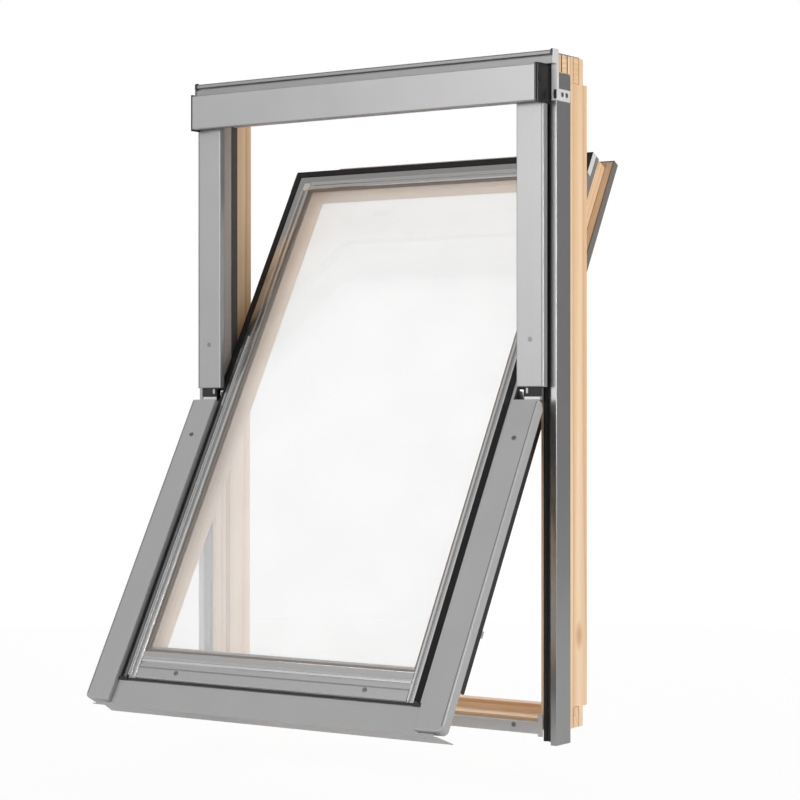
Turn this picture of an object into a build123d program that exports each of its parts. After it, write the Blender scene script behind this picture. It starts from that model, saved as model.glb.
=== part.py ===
from build123d import *

import os
from math import cos, radians, sin

# A centre-pivot roof window of pine, standing open. X runs to the right as seen from outside,
# Y into the room and Z up. The origin is the middle of the bottom rail's underside.
# The sash has its own directions: x along X, s up along the sash and n towards the room,
# all measured from the pivot axis, so that one set of sizes holds for every opening.

# Wooden frame
FRAME_WIDTH = 778.0
FRAME_HEIGHT = 1145.0
FRAME_DEPTH = 92.0
STILE_FRONT_THICKNESS = 36.0
STILE_REAR_THICKNESS = 42.0
STILE_STEP_DEPTH = 32.0
SEAL_GROOVE_WIDTH = 5.0
SEAL_GROOVE_DEPTH = 4.0
LINING_GROOVE_INSET = 6.0
LINING_GROOVE_SIZE = 8.0
RAIL_DEPTH = 78.0
HEAD_RAIL_HEIGHT = 44.0
SILL_FRONT_HEIGHT = 19.0
SILL_REAR_HEIGHT = 35.0
SILL_STEP_DEPTH = 50.0
FIRST_FINGER = 7.5
FINGER_PITCH = 19.0
FINGER_GAP = 0.7
JOINT_GAP = 0.2

# Pivot and opening
PIVOT_DEPTH = 24.0
OPENING = 29.5

# Wooden sash
SASH_SIDE_GAP = 5.0
SASH_HEAD_GAP = 47.0
SASH_SILL_GAP = 2.5
SASH_FACE_WIDTH = 46.0
SASH_FLANGE_WIDTH = 13.0
SASH_LIP_THICKNESS = 15.0
SASH_LIP_OUT = 40.0
SASH_REBATE_OUT = 17.0
SASH_FLANGE_FRONT = 7.0
SASH_REAR = 22.0
SASH_SILL_HEIGHT = 40.0
SASH_SILL_SLOPE = 17.0
SASH_FINGER = (-35.0, -13.0)
SASH_SILL_FINGER = (-4.0, 9.0)

# Glazing
PANE_THICKNESS = 4.0
PANE_GAP = 16.0
PANE_EDGE_GAP = 3.0
PANE_FOOT_GAP = 4.0
SPACER_INSET = 3.0
SPACER_WIDTH = 10.0
BEAD_OFFSET = 12.0
BEAD_WIDTH = 44.0
BEAD_LIFT = 0.1
BEAD_FOOT = 47.0
BEAD_SCREW_INSET = 142.0
BEAD_SCREW_S = 39.0
GASKET_WIDTH = 5.0
GASKET_HEIGHT = 1.4

# Sheet covers
SHEET = 1.6
THIN_SHEET = 1.0
COVER_INSET = 13.3
COVER_WIDTH = 53.7
COVER_OUT = 55.0
COVER_INNER_RETURN = 11.2
COVER_OUTER_RETURN = 20.0
UPPER_OUTER_RETURN = 13.0
COVER_EDGE_RADIUS = 2.0
COVER_CORNER_RADIUS = 9.0
COVER_LINE_INSET = 3.2
COVER_LINE_SIZE = 0.8
UPPER_COVER_START = 9.5
UPPER_COVER_DROP = 65.0
LOWER_COVER_START = 45.0
LOWER_COVER_OVERHANG = 94.0
COVER_CHAMFER = 10.0
COVER_SCREW_INSET = 26.7
UPPER_SCREW_RISE = 89.5
LOWER_SCREW_DROP = 119.4

# Stops, seals and cladding of the frame
STOP_INNER_GAP = 3.0
STOP_OUT = 31.0
STOP_START = 35.0
HEAD_STOP_HEIGHT = 30.0
NOSE_WIDTH = 14.0
NOSE_INSET = 1.0
SEAL_THICKNESS = 3.7
FRONT_GASKET_WIDTH = 14.0
FRONT_GASKET_HEIGHT = 9.0
LIP_WIDTH = 12.0
LIP_STANDOFF = 10.0
CLADDING_DEPTH = 46.5
CLADDING_DROP = 24.0
CLADDING_TOP_CUT = 31.0
CLADDING_CORNER_RADIUS = 6.0

# Hinge, handle and bolts
HINGE_PIN_RADIUS = 6.0
FIT = 0.05
RUNNING_GAP = 0.3
HINGE_PLATE_THICKNESS = 4.0
HINGE_PLATE_DROP = 50.0
HINGE_PLATE_RISE = 34.0
SHOULDER_RADIUS = 14.0
SASH_PLATE_THICKNESS = 5.0
SCALLOP_RADIUS = 44.6
SCALLOP_FOOT = 50.5
LOCK_RISE = 28.0
BOLT_SIZE = (16.0, 8.0, 24.0)
BOLT_N = 7.0
BOLT_TRAVEL = 10.0
BOLT_SETBACK = 2.0
BARREL_RISE = 111.0
BARREL_N = 28.0
BARREL_RADIUS = 4.0
SCREW_HEAD_RADIUS = 4.2
SCREW_HEAD_HEIGHT = 1.8
SCREW_SHANK_RADIUS = 2.0
SCREW_LENGTH = 9.0

# Places that follow from the sizes
FRAME_HALF = FRAME_WIDTH / 2
WOOD_FRONT = -FRAME_DEPTH / 2
WOOD_REAR = FRAME_DEPTH / 2
STILE_FRONT_X = FRAME_HALF - STILE_FRONT_THICKNESS
STILE_REAR_X = FRAME_HALF - STILE_REAR_THICKNESS
STEP_Y = WOOD_FRONT + STILE_STEP_DEPTH
SEAL_Y = STEP_Y - SEAL_GROOVE_WIDTH
RAIL_REAR = WOOD_FRONT + RAIL_DEPTH
HEAD_Z = FRAME_HEIGHT - HEAD_RAIL_HEIGHT
SILL_STEP_Y = WOOD_FRONT + SILL_STEP_DEPTH
PIVOT_Y = WOOD_FRONT + PIVOT_DEPTH
PIVOT_Z = FRAME_HEIGHT / 2
FINGER_LINES = [WOOD_FRONT + FIRST_FINGER + FINGER_PITCH * i for i in range(4)]
RAIL_LAYERS = [(FINGER_LINES[0], FINGER_LINES[1]), (FINGER_LINES[2], FINGER_LINES[3])]
STILE_LAYERS = [
    (WOOD_FRONT - 1, FINGER_LINES[0]),
    (FINGER_LINES[1], FINGER_LINES[2]),
    (FINGER_LINES[3], WOOD_REAR + 1),
]
SASH_HALF = STILE_REAR_X - SASH_SIDE_GAP
SASH_BODY = SASH_HALF - SASH_FLANGE_WIDTH
SASH_LIP_X = SASH_BODY - SASH_LIP_THICKNESS
SASH_INNER = SASH_HALF - SASH_FACE_WIDTH
SASH_TOP = HEAD_Z - SASH_HEAD_GAP - PIVOT_Z
SASH_FOOT = SILL_FRONT_HEIGHT + SASH_SILL_GAP - PIVOT_Z
PANE_X = SASH_LIP_X - PANE_EDGE_GAP
PANE_TOP = SASH_TOP - (SASH_HALF - PANE_X)
PANE_FOOT = SASH_FOOT + PANE_FOOT_GAP
PANE_OUT = SASH_REBATE_OUT + 2 * PANE_THICKNESS + PANE_GAP
BEAD_INNER = BEAD_OFFSET + BEAD_WIDTH
BEAD_X = SASH_HALF - BEAD_INNER
BEAD_SCREW_X = SASH_HALF - BEAD_SCREW_INSET
BEAD_TOP_S = SASH_TOP - BEAD_INNER
GASKET_FOOT = PANE_FOOT + 2
COVER_HALF = FRAME_HALF - COVER_INSET
COVER_INNER = COVER_HALF - COVER_WIDTH
UPPER_COVER_END = PIVOT_Z - UPPER_COVER_DROP
LOWER_COVER_END = LOWER_COVER_OVERHANG - SASH_FOOT
LOCK_S = SASH_FOOT + LOCK_RISE
BARREL_S = SASH_FOOT + BARREL_RISE
COVER_SCREW_X = COVER_HALF - COVER_SCREW_INSET
UPPER_FRONT = PIVOT_Y - COVER_OUT
STOP_X = SASH_BODY + STOP_INNER_GAP
STOP_FRONT = PIVOT_Y - STOP_OUT
STOP_Z = PIVOT_Z + STOP_START
FLANGE_X = FRAME_HALF - THIN_SHEET
LIP_Y = WOOD_FRONT - LIP_STANDOFF
LIP_X = FRAME_HALF - LIP_WIDTH
FLANGE_REAR = LIP_Y + CLADDING_DEPTH
TURN = radians(OPENING)
OUTWARDS = Axis((0, 0, 0), (0, -cos(TURN), sin(TURN)))
UPWARDS = Axis((0, 0, 0), (0, sin(TURN), cos(TURN)))
ROOMWARDS = Axis((0, 0, 0), (0, cos(TURN), -sin(TURN)))

STILE_SECTION = [
    (STILE_FRONT_X, WOOD_FRONT),
    (FLANGE_X, WOOD_FRONT),
    (FLANGE_X, FLANGE_REAR),
    (FRAME_HALF, FLANGE_REAR),
    (FRAME_HALF, WOOD_REAR),
    (STILE_REAR_X + LINING_GROOVE_INSET + LINING_GROOVE_SIZE, WOOD_REAR),
    (STILE_REAR_X + LINING_GROOVE_INSET + LINING_GROOVE_SIZE, WOOD_REAR - LINING_GROOVE_SIZE),
    (STILE_REAR_X + LINING_GROOVE_INSET, WOOD_REAR - LINING_GROOVE_SIZE),
    (STILE_REAR_X + LINING_GROOVE_INSET, WOOD_REAR),
    (STILE_REAR_X, WOOD_REAR),
    (STILE_REAR_X, STEP_Y),
    (STILE_FRONT_X + SEAL_GROOVE_DEPTH, STEP_Y),
    (STILE_FRONT_X + SEAL_GROOVE_DEPTH, SEAL_Y),
    (STILE_FRONT_X, SEAL_Y),
]
HEAD_RAIL_SECTION = [
    (WOOD_FRONT, HEAD_Z),
    (RAIL_REAR, HEAD_Z),
    (RAIL_REAR, FRAME_HEIGHT),
    (WOOD_FRONT, FRAME_HEIGHT),
]
SILL_SECTION = [
    (WOOD_FRONT, 0),
    (RAIL_REAR, 0),
    (RAIL_REAR, SILL_REAR_HEIGHT),
    (SILL_STEP_Y, SILL_REAR_HEIGHT),
    (SILL_STEP_Y, SILL_FRONT_HEIGHT),
    (WOOD_FRONT, SILL_FRONT_HEIGHT),
]
SASH_STILE_SECTION = [
    (SASH_INNER, -SASH_REBATE_OUT),
    (SASH_LIP_X, -SASH_REBATE_OUT),
    (SASH_LIP_X, -SASH_LIP_OUT),
    (SASH_BODY, -SASH_LIP_OUT),
    (SASH_BODY, SASH_FLANGE_FRONT),
    (SASH_HALF, SASH_FLANGE_FRONT),
    (SASH_HALF, SASH_REAR),
    (SASH_INNER, SASH_REAR),
]
SASH_HEAD_SECTION = [(n, x + SASH_TOP - SASH_HALF) for x, n in SASH_STILE_SECTION]
SASH_SILL_SECTION = [
    (-SASH_REBATE_OUT, SASH_FOOT),
    (SASH_REAR, SASH_FOOT),
    (SASH_REAR, SASH_FOOT + SASH_SILL_HEIGHT),
    (-SASH_REBATE_OUT, SASH_FOOT + SASH_SILL_HEIGHT - SASH_SILL_SLOPE),
]


def sash_face(out):
    """Plane along the sash's face: local (x, s), facing outwards."""
    return Plane(
        origin=(0, PIVOT_Y - out * cos(TURN), PIVOT_Z + out * sin(TURN)),
        x_dir=(1, 0, 0),
        z_dir=(0, -cos(TURN), sin(TURN)),
    )


def sash_level(s):
    """Plane square across the sash's stiles: local (x, n), facing up the sash."""
    return Plane(
        origin=(0, PIVOT_Y + s * sin(TURN), PIVOT_Z + s * cos(TURN)),
        x_dir=(1, 0, 0),
        z_dir=(0, sin(TURN), cos(TURN)),
    )


def sash_side(x):
    """Plane square across the sash's rails: local (n, s), facing right."""
    return Plane(
        origin=(x, PIVOT_Y, PIVOT_Z),
        x_dir=(0, cos(TURN), -sin(TURN)),
        z_dir=(1, 0, 0),
    )


def sash_room(n):
    """Plane along the sash's rear: local (x, -s), facing the room."""
    return Plane(
        origin=(0, PIVOT_Y + n * cos(TURN), PIVOT_Z - n * sin(TURN)),
        x_dir=(1, 0, 0),
        z_dir=(0, cos(TURN), -sin(TURN)),
    )


def frame_face(y):
    """Plane along the frame's face: local (X, Z), facing outwards."""
    return Plane.XZ.offset(-y)


def box_outline(across, up):
    """The four corners of a rectangle between two pairs of limits."""
    return [
        (across[0], up[0]),
        (across[1], up[0]),
        (across[1], up[1]),
        (across[0], up[1]),
    ]


def bar(plane, outline, length, mode=Mode.ADD):
    """Extrude a closed outline from its plane into the part being built."""
    with BuildSketch(plane) as section:
        with BuildLine():
            Polyline(*outline, close=True)
        make_face()
    extrude(section.sketch, amount=length, mode=mode)


def frame_block(xs, ys, zs, mode=Mode.ADD):
    """A block square to the frame."""
    bar(Plane.XY.offset(zs[0]), box_outline(xs, ys), zs[1] - zs[0], mode)


def sash_block(xs, ns, ss, mode=Mode.ADD):
    """A block square to the sash."""
    bar(sash_level(ss[0]), box_outline(xs, ns), ss[1] - ss[0], mode)


def folded_sheet(plane, route, thickness, radius, length):
    """Extrude a sheet that follows a route, with its thickness to the left of it."""
    with BuildSketch(plane) as section:
        with BuildLine():
            FilletPolyline(*route, radius=radius)
            offset(amount=thickness, side=Side.LEFT)
        make_face()
    extrude(section.sketch, amount=length)


def rod(plane, centre, radius, length, mode=Mode.ADD):
    """A round rod or hole from a plane."""
    with BuildSketch(plane) as section:
        with Locations(centre):
            Circle(radius)
    extrude(section.sketch, amount=length, mode=mode)


def layer_cut(plane, outline, layer, length, grow=0.0, upright=False):
    """Cut the part of an outline that lies in one layer of a finger joint."""
    middle = (layer[0] + layer[1]) / 2
    reach = 4 * FRAME_HEIGHT
    with BuildSketch(plane) as section:
        with BuildLine():
            Polyline(*outline, close=True)
        make_face()
        with Locations((0, middle) if upright else (middle, 0)):
            if upright:
                Rectangle(reach, layer[1] - layer[0], mode=Mode.INTERSECT)
            else:
                Rectangle(layer[1] - layer[0], reach, mode=Mode.INTERSECT)
        if grow:
            offset(amount=grow, kind=Kind.INTERSECTION)
    extrude(section.sketch, amount=length, mode=Mode.SUBTRACT)


def screws(plane, centres, length=SCREW_LENGTH):
    """Pan-head screws standing on a plane, their shanks behind it."""
    with BuildSketch(plane) as heads:
        with Locations(*centres):
            Circle(SCREW_HEAD_RADIUS)
    extrude(heads.sketch, amount=SCREW_HEAD_HEIGHT)
    with BuildSketch(plane) as shanks:
        with Locations(*centres):
            Circle(SCREW_SHANK_RADIUS)
    extrude(shanks.sketch, amount=-length)


def screw_holes(plane, centres, length=SCREW_LENGTH):
    """Holes for the shanks of screws that stand on a plane."""
    with BuildSketch(plane) as holes:
        with Locations(*centres):
            Circle(SCREW_SHANK_RADIUS + FIT)
    extrude(holes.sketch, amount=-length, mode=Mode.SUBTRACT)


def finish(piece, name):
    """Name a piece and write it out."""
    piece.part.label = name
    export_step(piece.part, f"parts/{name}.step")


def finish_pair(piece, name):
    """Write out a right-hand piece and its mirror image."""
    finish(piece, f"{name}_right")
    with BuildPart() as twin:
        mirror(piece.part, about=Plane.YZ)
    finish(twin, f"{name}_left")


os.makedirs("parts", exist_ok=True)

# Frame stiles, with finger joints, seal and lining grooves and the hinge's mortise
HINGE_REAR = PIVOT_Y + 26.0
HINGE_FRONT = PIVOT_Y - 20.0
MORTISE_CLEARANCE = 2.0
BUSH_LENGTH = 10.0
BUSH_RADIUS = 6.0
BARREL_Y = PIVOT_Y + BARREL_N
BARREL_Z = PIVOT_Z + BARREL_S
PAST = 1.0
UPPER_SCREW_Z = PIVOT_Z + UPPER_SCREW_RISE
PLATE_SCREW_INSET = 10.0
PLATE_Z = (PIVOT_Z - HINGE_PLATE_DROP, PIVOT_Z + HINGE_PLATE_RISE)
FRAME_PLATE_SCREWS = [
    (HINGE_REAR - PLATE_SCREW_INSET, PLATE_Z[0] + PLATE_SCREW_INSET),
    (HINGE_REAR - PLATE_SCREW_INSET, PLATE_Z[1] - PLATE_SCREW_INSET),
]
BOTTOM_SCREW_X = FRAME_HALF - 85.0
BOTTOM_SCREWS = [(-BOTTOM_SCREW_X, 5.0), (BOTTOM_SCREW_X, 5.0)]
TAB_Z = (FRAME_HEIGHT - 79.0, FRAME_HEIGHT - 59.0)
TAB_MIDDLE = (TAB_Z[0] + TAB_Z[1]) / 2
TAB_RIVETS = [(LIP_Y + 17.0, TAB_MIDDLE), (LIP_Y + 31.5, TAB_MIDDLE)]
NOSE_TOP = PIVOT_Z + UPPER_COVER_END
NOSE_X = (STILE_FRONT_X - NOSE_INSET - NOSE_WIDTH, STILE_FRONT_X - NOSE_INSET)
UPPER_BACK = UPPER_FRONT + SHEET


def frame_stile():
    """The right-hand stile, before the hole for the barrel bolt's bush."""
    with BuildPart() as stile:
        bar(Plane.XY, STILE_SECTION, FRAME_HEIGHT)
        across = (STILE_REAR_X - PAST, FRAME_HALF + PAST)
        rear_strip = (RAIL_REAR, WOOD_REAR + PAST)
        frame_block(across, rear_strip, (-PAST, SILL_REAR_HEIGHT), Mode.SUBTRACT)
        frame_block(across, rear_strip, (HEAD_Z, FRAME_HEIGHT + PAST), Mode.SUBTRACT)
        for section in (HEAD_RAIL_SECTION, SILL_SECTION):
            for layer in RAIL_LAYERS:
                layer_cut(
                    Plane.YZ.offset(across[0]),
                    section,
                    layer,
                    across[1] - across[0],
                    grow=FINGER_GAP,
                )
        frame_block(
            (STILE_REAR_X - PAST, STILE_FRONT_X),
            (SEAL_Y, HINGE_REAR + 2 * MORTISE_CLEARANCE),
            (PLATE_Z[0] - MORTISE_CLEARANCE, PLATE_Z[1] + MORTISE_CLEARANCE),
            Mode.SUBTRACT,
        )
        screw_holes(Plane.YZ.offset(STILE_FRONT_X), FRAME_PLATE_SCREWS, -SCREW_LENGTH)
        screw_holes(
            Plane.YZ.offset(FRAME_HALF + THIN_SHEET), TAB_RIVETS, 2 * THIN_SHEET + SCREW_LENGTH
        )
    return stile


frame_stile_blank = frame_stile()
with BuildPart() as frame_stile_left:
    mirror(frame_stile_blank.part, about=Plane.YZ)
finish(frame_stile_left, "frame_stile_left")

with BuildPart() as frame_stile_right:
    add(frame_stile_blank.part)
    rod(
        Plane.YZ.offset(STILE_REAR_X),
        (BARREL_Y, BARREL_Z),
        BUSH_RADIUS + FIT,
        BUSH_LENGTH,
        Mode.SUBTRACT,
    )
finish(frame_stile_right, "frame_stile_right")


def cut_stile_layers(low, high):
    """Cut both stiles' layers out of a frame rail that lies between two heights."""
    for layer in STILE_LAYERS:
        for outline in (STILE_SECTION, [(-x, y) for x, y in STILE_SECTION]):
            layer_cut(Plane.XY.offset(low), outline, layer, high - low, upright=True)


def cut_flange_rebates():
    """Let the side claddings' flanges into both ends of a frame rail."""
    for xs in ((FLANGE_X, FRAME_HALF + PAST), (-FRAME_HALF - PAST, -FLANGE_X)):
        frame_block(
            xs,
            (WOOD_FRONT - PAST, FLANGE_REAR),
            (-PAST, FRAME_HEIGHT + PAST),
            Mode.SUBTRACT,
        )


# Frame rails
with BuildPart() as frame_head_rail:
    bar(Plane.YZ.offset(-FRAME_HALF), HEAD_RAIL_SECTION, FRAME_WIDTH)
    cut_stile_layers(HEAD_Z - PAST, FRAME_HEIGHT + PAST)
    cut_flange_rebates()
finish(frame_head_rail, "frame_head_rail")

STRIKER_Y = PIVOT_Y + BOLT_N
STRIKER_HALF = (20.0, 13.0)
STRIKER_THICKNESS = 2.0
SLOT_HALF = (BOLT_SIZE[0] / 2 + 2, BOLT_SIZE[1] / 2 + 2)
POCKET_ROOM = 8.5
POCKET_FLOOR = SILL_FRONT_HEIGHT + SASH_SILL_GAP + BOLT_SETBACK - BOLT_TRAVEL - POCKET_ROOM
STRIKER_XS = (-STRIKER_HALF[0], STRIKER_HALF[0])
STRIKER_YS = (STRIKER_Y - STRIKER_HALF[1], STRIKER_Y + STRIKER_HALF[1])
SLOT_XS = (-SLOT_HALF[0], SLOT_HALF[0])
SLOT_YS = (STRIKER_Y - SLOT_HALF[1], STRIKER_Y + SLOT_HALF[1])
STRIKER_ZS = (SILL_FRONT_HEIGHT - STRIKER_THICKNESS, SILL_FRONT_HEIGHT)

with BuildPart() as frame_bottom_rail:
    bar(Plane.YZ.offset(-FRAME_HALF), SILL_SECTION, FRAME_WIDTH)
    cut_stile_layers(-PAST, SILL_REAR_HEIGHT + PAST)
    cut_flange_rebates()
    frame_block(STRIKER_XS, STRIKER_YS, STRIKER_ZS, Mode.SUBTRACT)
    frame_block(SLOT_XS, SLOT_YS, (POCKET_FLOOR, SILL_FRONT_HEIGHT), Mode.SUBTRACT)
    screw_holes(frame_face(LIP_Y), BOTTOM_SCREWS, LIP_STANDOFF + SCREW_LENGTH)
finish(frame_bottom_rail, "frame_bottom_rail")

with BuildPart() as striker_plate:
    frame_block(STRIKER_XS, STRIKER_YS, STRIKER_ZS)
    frame_block(SLOT_XS, SLOT_YS, STRIKER_ZS, Mode.SUBTRACT)
finish(striker_plate, "striker_plate")

with BuildPart() as bolt_bush:
    rod(Plane.YZ.offset(STILE_REAR_X), (BARREL_Y, BARREL_Z), BUSH_RADIUS, BUSH_LENGTH)
    rod(
        Plane.YZ.offset(STILE_REAR_X),
        (BARREL_Y, BARREL_Z),
        BARREL_RADIUS + RUNNING_GAP,
        BUSH_LENGTH,
        Mode.SUBTRACT,
    )
finish(bolt_bush, "bolt_bush")

# Stops in the upper half of the frame, with the nose that carries the side cover
with BuildPart() as upper_stop:
    bar(
        Plane.XY.offset(STOP_Z),
        [
            (STOP_X, SEAL_Y),
            (STILE_FRONT_X, SEAL_Y),
            (STILE_FRONT_X, STOP_FRONT),
            (NOSE_X[1], STOP_FRONT),
            (NOSE_X[1], UPPER_BACK),
            (NOSE_X[0], UPPER_BACK),
            (NOSE_X[0], STOP_FRONT),
            (STOP_X, STOP_FRONT),
        ],
        HEAD_Z - STOP_Z,
    )
    frame_block(
        (NOSE_X[0] - PAST, NOSE_X[1] + PAST),
        (UPPER_BACK - PAST, STOP_FRONT),
        (NOSE_TOP - SHEET, HEAD_Z + PAST),
        Mode.SUBTRACT,
    )
    screw_holes(frame_face(UPPER_FRONT), [(COVER_SCREW_X, UPPER_SCREW_Z)], SCREW_LENGTH)
finish_pair(upper_stop, "upper_stop")

with BuildPart() as head_stop:
    frame_block(
        (JOINT_GAP - STOP_X, STOP_X - JOINT_GAP),
        (STOP_FRONT, SEAL_Y),
        (HEAD_Z - HEAD_STOP_HEIGHT, HEAD_Z),
    )
finish(head_stop, "head_stop")

# Seal behind the stops, along both sides and the head
SEAL_REAR = SEAL_Y + SEAL_THICKNESS
SEAL_WRAP = 13.0
SEAL_SIDE_X = STILE_REAR_X - 2.0
HEAD_SEAL_Z = (HEAD_Z - HEAD_STOP_HEIGHT + 1.0, HEAD_Z - HEAD_STOP_HEIGHT + 13.0)

with BuildPart() as upper_frame_gasket:
    side_seal = [
        (STOP_X - THIN_SHEET, SEAL_Y - SEAL_WRAP),
        (STOP_X, SEAL_Y - SEAL_WRAP),
        (STOP_X, SEAL_Y),
        (SEAL_SIDE_X, SEAL_Y),
        (SEAL_SIDE_X, SEAL_REAR),
        (STOP_X - THIN_SHEET, SEAL_REAR),
    ]
    for outline in (side_seal, [(-x, y) for x, y in side_seal]):
        bar(Plane.XY.offset(STOP_Z), outline, HEAD_SEAL_Z[0] - PAST - STOP_Z)
    for xs in ((STOP_X - THIN_SHEET, SEAL_SIDE_X), (-SEAL_SIDE_X, THIN_SHEET - STOP_X)):
        frame_block(xs, (SEAL_Y, SEAL_REAR), (HEAD_SEAL_Z[0] - PAST, HEAD_SEAL_Z[1]))
    frame_block((-SEAL_SIDE_X, SEAL_SIDE_X), (SEAL_Y, SEAL_REAR), HEAD_SEAL_Z)
finish(upper_frame_gasket, "upper_frame_gasket")

# Gasket on the frame's front face, under the side covers
FRONT_GASKET_Z = (-18.0, FRAME_HEIGHT - 85.0)
GASKET_FLUTE = 3.0

with BuildPart() as front_gasket:
    middle = LIP_X - FRONT_GASKET_WIDTH / 2
    bar(
        Plane.XY.offset(FRONT_GASKET_Z[0]),
        [
            (LIP_X - FRONT_GASKET_WIDTH, WOOD_FRONT),
            (LIP_X, WOOD_FRONT),
            (LIP_X, WOOD_FRONT - FRONT_GASKET_HEIGHT),
            (middle + GASKET_FLUTE, WOOD_FRONT - FRONT_GASKET_HEIGHT),
            (middle, WOOD_FRONT - FRONT_GASKET_HEIGHT + GASKET_FLUTE),
            (middle - GASKET_FLUTE, WOOD_FRONT - FRONT_GASKET_HEIGHT),
            (LIP_X - FRONT_GASKET_WIDTH, WOOD_FRONT - FRONT_GASKET_HEIGHT),
        ],
        FRONT_GASKET_Z[1] - FRONT_GASKET_Z[0],
    )
finish_pair(front_gasket, "front_gasket")

# Folded cladding along each side of the frame
CLADDING_Z = (-CLADDING_DROP, FRAME_HEIGHT - JOINT_GAP)
FLANGE_TOP = FRAME_HEIGHT - CLADDING_TOP_CUT

with BuildPart() as side_cladding:
    folded_sheet(
        Plane.XY.offset(CLADDING_Z[0]),
        [
            (LIP_X, WOOD_FRONT),
            (LIP_X, LIP_Y),
            (FRAME_HALF, LIP_Y),
            (FRAME_HALF, FLANGE_REAR),
        ],
        THIN_SHEET,
        THIN_SHEET,
        CLADDING_Z[1] - CLADDING_Z[0],
    )
    frame_block(
        (FLANGE_X - PAST, FRAME_HALF + PAST),
        (LIP_Y + 2 * THIN_SHEET, FLANGE_REAR + PAST),
        (FLANGE_TOP, FRAME_HEIGHT),
        Mode.SUBTRACT,
    )
    corner = side_cladding.edges().filter_by(Axis.X).group_by(Axis.Y)[-1].sort_by(Axis.Z)[-1]
    fillet(corner, CLADDING_CORNER_RADIUS)
    screw_holes(Plane.YZ.offset(FRAME_HALF + THIN_SHEET), TAB_RIVETS, 3 * THIN_SHEET)
finish_pair(side_cladding, "side_cladding")

# Bright bracket that wraps the upper corner of the frame, with a tab riveted over the flange
TAB_X = (FRAME_HALF, FRAME_HALF + THIN_SHEET)
TAB_REAR = LIP_Y + 44.0
BRACKET_FRONT = LIP_Y - THIN_SHEET
BRACKET_WIDTH = 10.0
BAND_END_FOOT = FRAME_HEIGHT - 17.0
BRACKET_TOP = FRAME_HEIGHT + 7.5
NOSE_REACH = 13.0

with BuildPart() as corner_tab:
    frame_block(TAB_X, (LIP_Y, TAB_REAR), TAB_Z)
    fillet(corner_tab.edges().filter_by(Axis.X).group_by(Axis.Y)[-1], 2 * THIN_SHEET)
    frame_block(TAB_X, (BRACKET_FRONT, LIP_Y + 6.0), (TAB_Z[0], BRACKET_TOP))
    frame_block(TAB_X, (LIP_Y - NOSE_REACH, LIP_Y), (BAND_END_FOOT, BRACKET_TOP))
    fillet(corner_tab.edges().filter_by(Axis.X).sort_by(Axis.Z)[-2:], 2 * THIN_SHEET)
    frame_block(
        (TAB_X[1] - BRACKET_WIDTH, TAB_X[1]),
        (BRACKET_FRONT, LIP_Y),
        (TAB_Z[0], FRAME_HEIGHT - JOINT_GAP),
    )
    screw_holes(Plane.YZ.offset(FRAME_HALF + THIN_SHEET), TAB_RIVETS, THIN_SHEET)
finish_pair(corner_tab, "corner_tab")

# Folded channel along the bottom of the frame, with a lug at each end
CHANNEL_HALF = FRAME_HALF - 36.0
CHANNEL_Z = (-7.0, 13.0)
LUG_X = (CHANNEL_HALF - PAST, CHANNEL_HALF + 8.5)
LUG_Y = (LIP_Y, LIP_Y + THIN_SHEET)
LUG_Z = (-11.0, 27.0)

with BuildPart() as bottom_cladding:
    folded_sheet(
        Plane.YZ.offset(-CHANNEL_HALF),
        [
            (WOOD_FRONT, CHANNEL_Z[1]),
            (LIP_Y, CHANNEL_Z[1]),
            (LIP_Y, CHANNEL_Z[0]),
            (WOOD_FRONT, CHANNEL_Z[0]),
        ],
        THIN_SHEET,
        THIN_SHEET,
        2 * CHANNEL_HALF,
    )
    for xs in (LUG_X, (-LUG_X[1], -LUG_X[0])):
        frame_block(xs, LUG_Y, LUG_Z)
    screw_holes(frame_face(LIP_Y), BOTTOM_SCREWS, THIN_SHEET)
finish(bottom_cladding, "bottom_cladding")

# Hood over the head of the frame, with its end caps and the weather lip behind it
HOOD_HALF = FRAME_HALF - 18.0
HOOD_FRONT = UPPER_FRONT - 22.0
HOOD_Z = (FRAME_HEIGHT - 82.5, FRAME_HEIGHT - 20.0)
HOOD_SHEET = 1.5
HOOD_HEM = HOOD_FRONT + 11.0
HOOD_REAR = LIP_Y - 10.0
HOOD_RADIUS = 2.0
CAP_THICKNESS = 5.7
CAP_MARGIN = 2.0
CAP_REAR = WOOD_FRONT - 2.0
CAP_EDGE_RADIUS = 4.5
CAP_BOSS = (HOOD_FRONT + 11.0, FRAME_HEIGHT - 45.0)
CAP_BOSS_RADIUS = 5.5
BAND_FOOT = FRAME_HEIGHT - 33.0

with BuildPart() as head_cover:
    folded_sheet(
        Plane.YZ.offset(-HOOD_HALF),
        [
            (HOOD_REAR, HOOD_Z[1]),
            (HOOD_FRONT, HOOD_Z[1]),
            (HOOD_FRONT, HOOD_Z[0]),
            (HOOD_HEM, HOOD_Z[0]),
        ],
        HOOD_SHEET,
        HOOD_RADIUS,
        2 * HOOD_HALF,
    )
finish(head_cover, "head_cover")

with BuildPart() as head_end_cap:
    bar(
        Plane.YZ.offset(HOOD_HALF),
        box_outline(
            (HOOD_FRONT, CAP_REAR), (HOOD_Z[0] - CAP_MARGIN, HOOD_Z[1] + CAP_MARGIN)
        ),
        CAP_THICKNESS,
    )
    outer_edges = head_end_cap.edges().group_by(Axis.X)[-1]
    fillet(outer_edges.filter_by(Axis.Z).sort_by(Axis.Y)[0], CAP_EDGE_RADIUS)
    rod(Plane.YZ.offset(HOOD_HALF + CAP_THICKNESS), CAP_BOSS, CAP_BOSS_RADIUS, THIN_SHEET)
finish_pair(head_end_cap, "head_end_cap")

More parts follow.
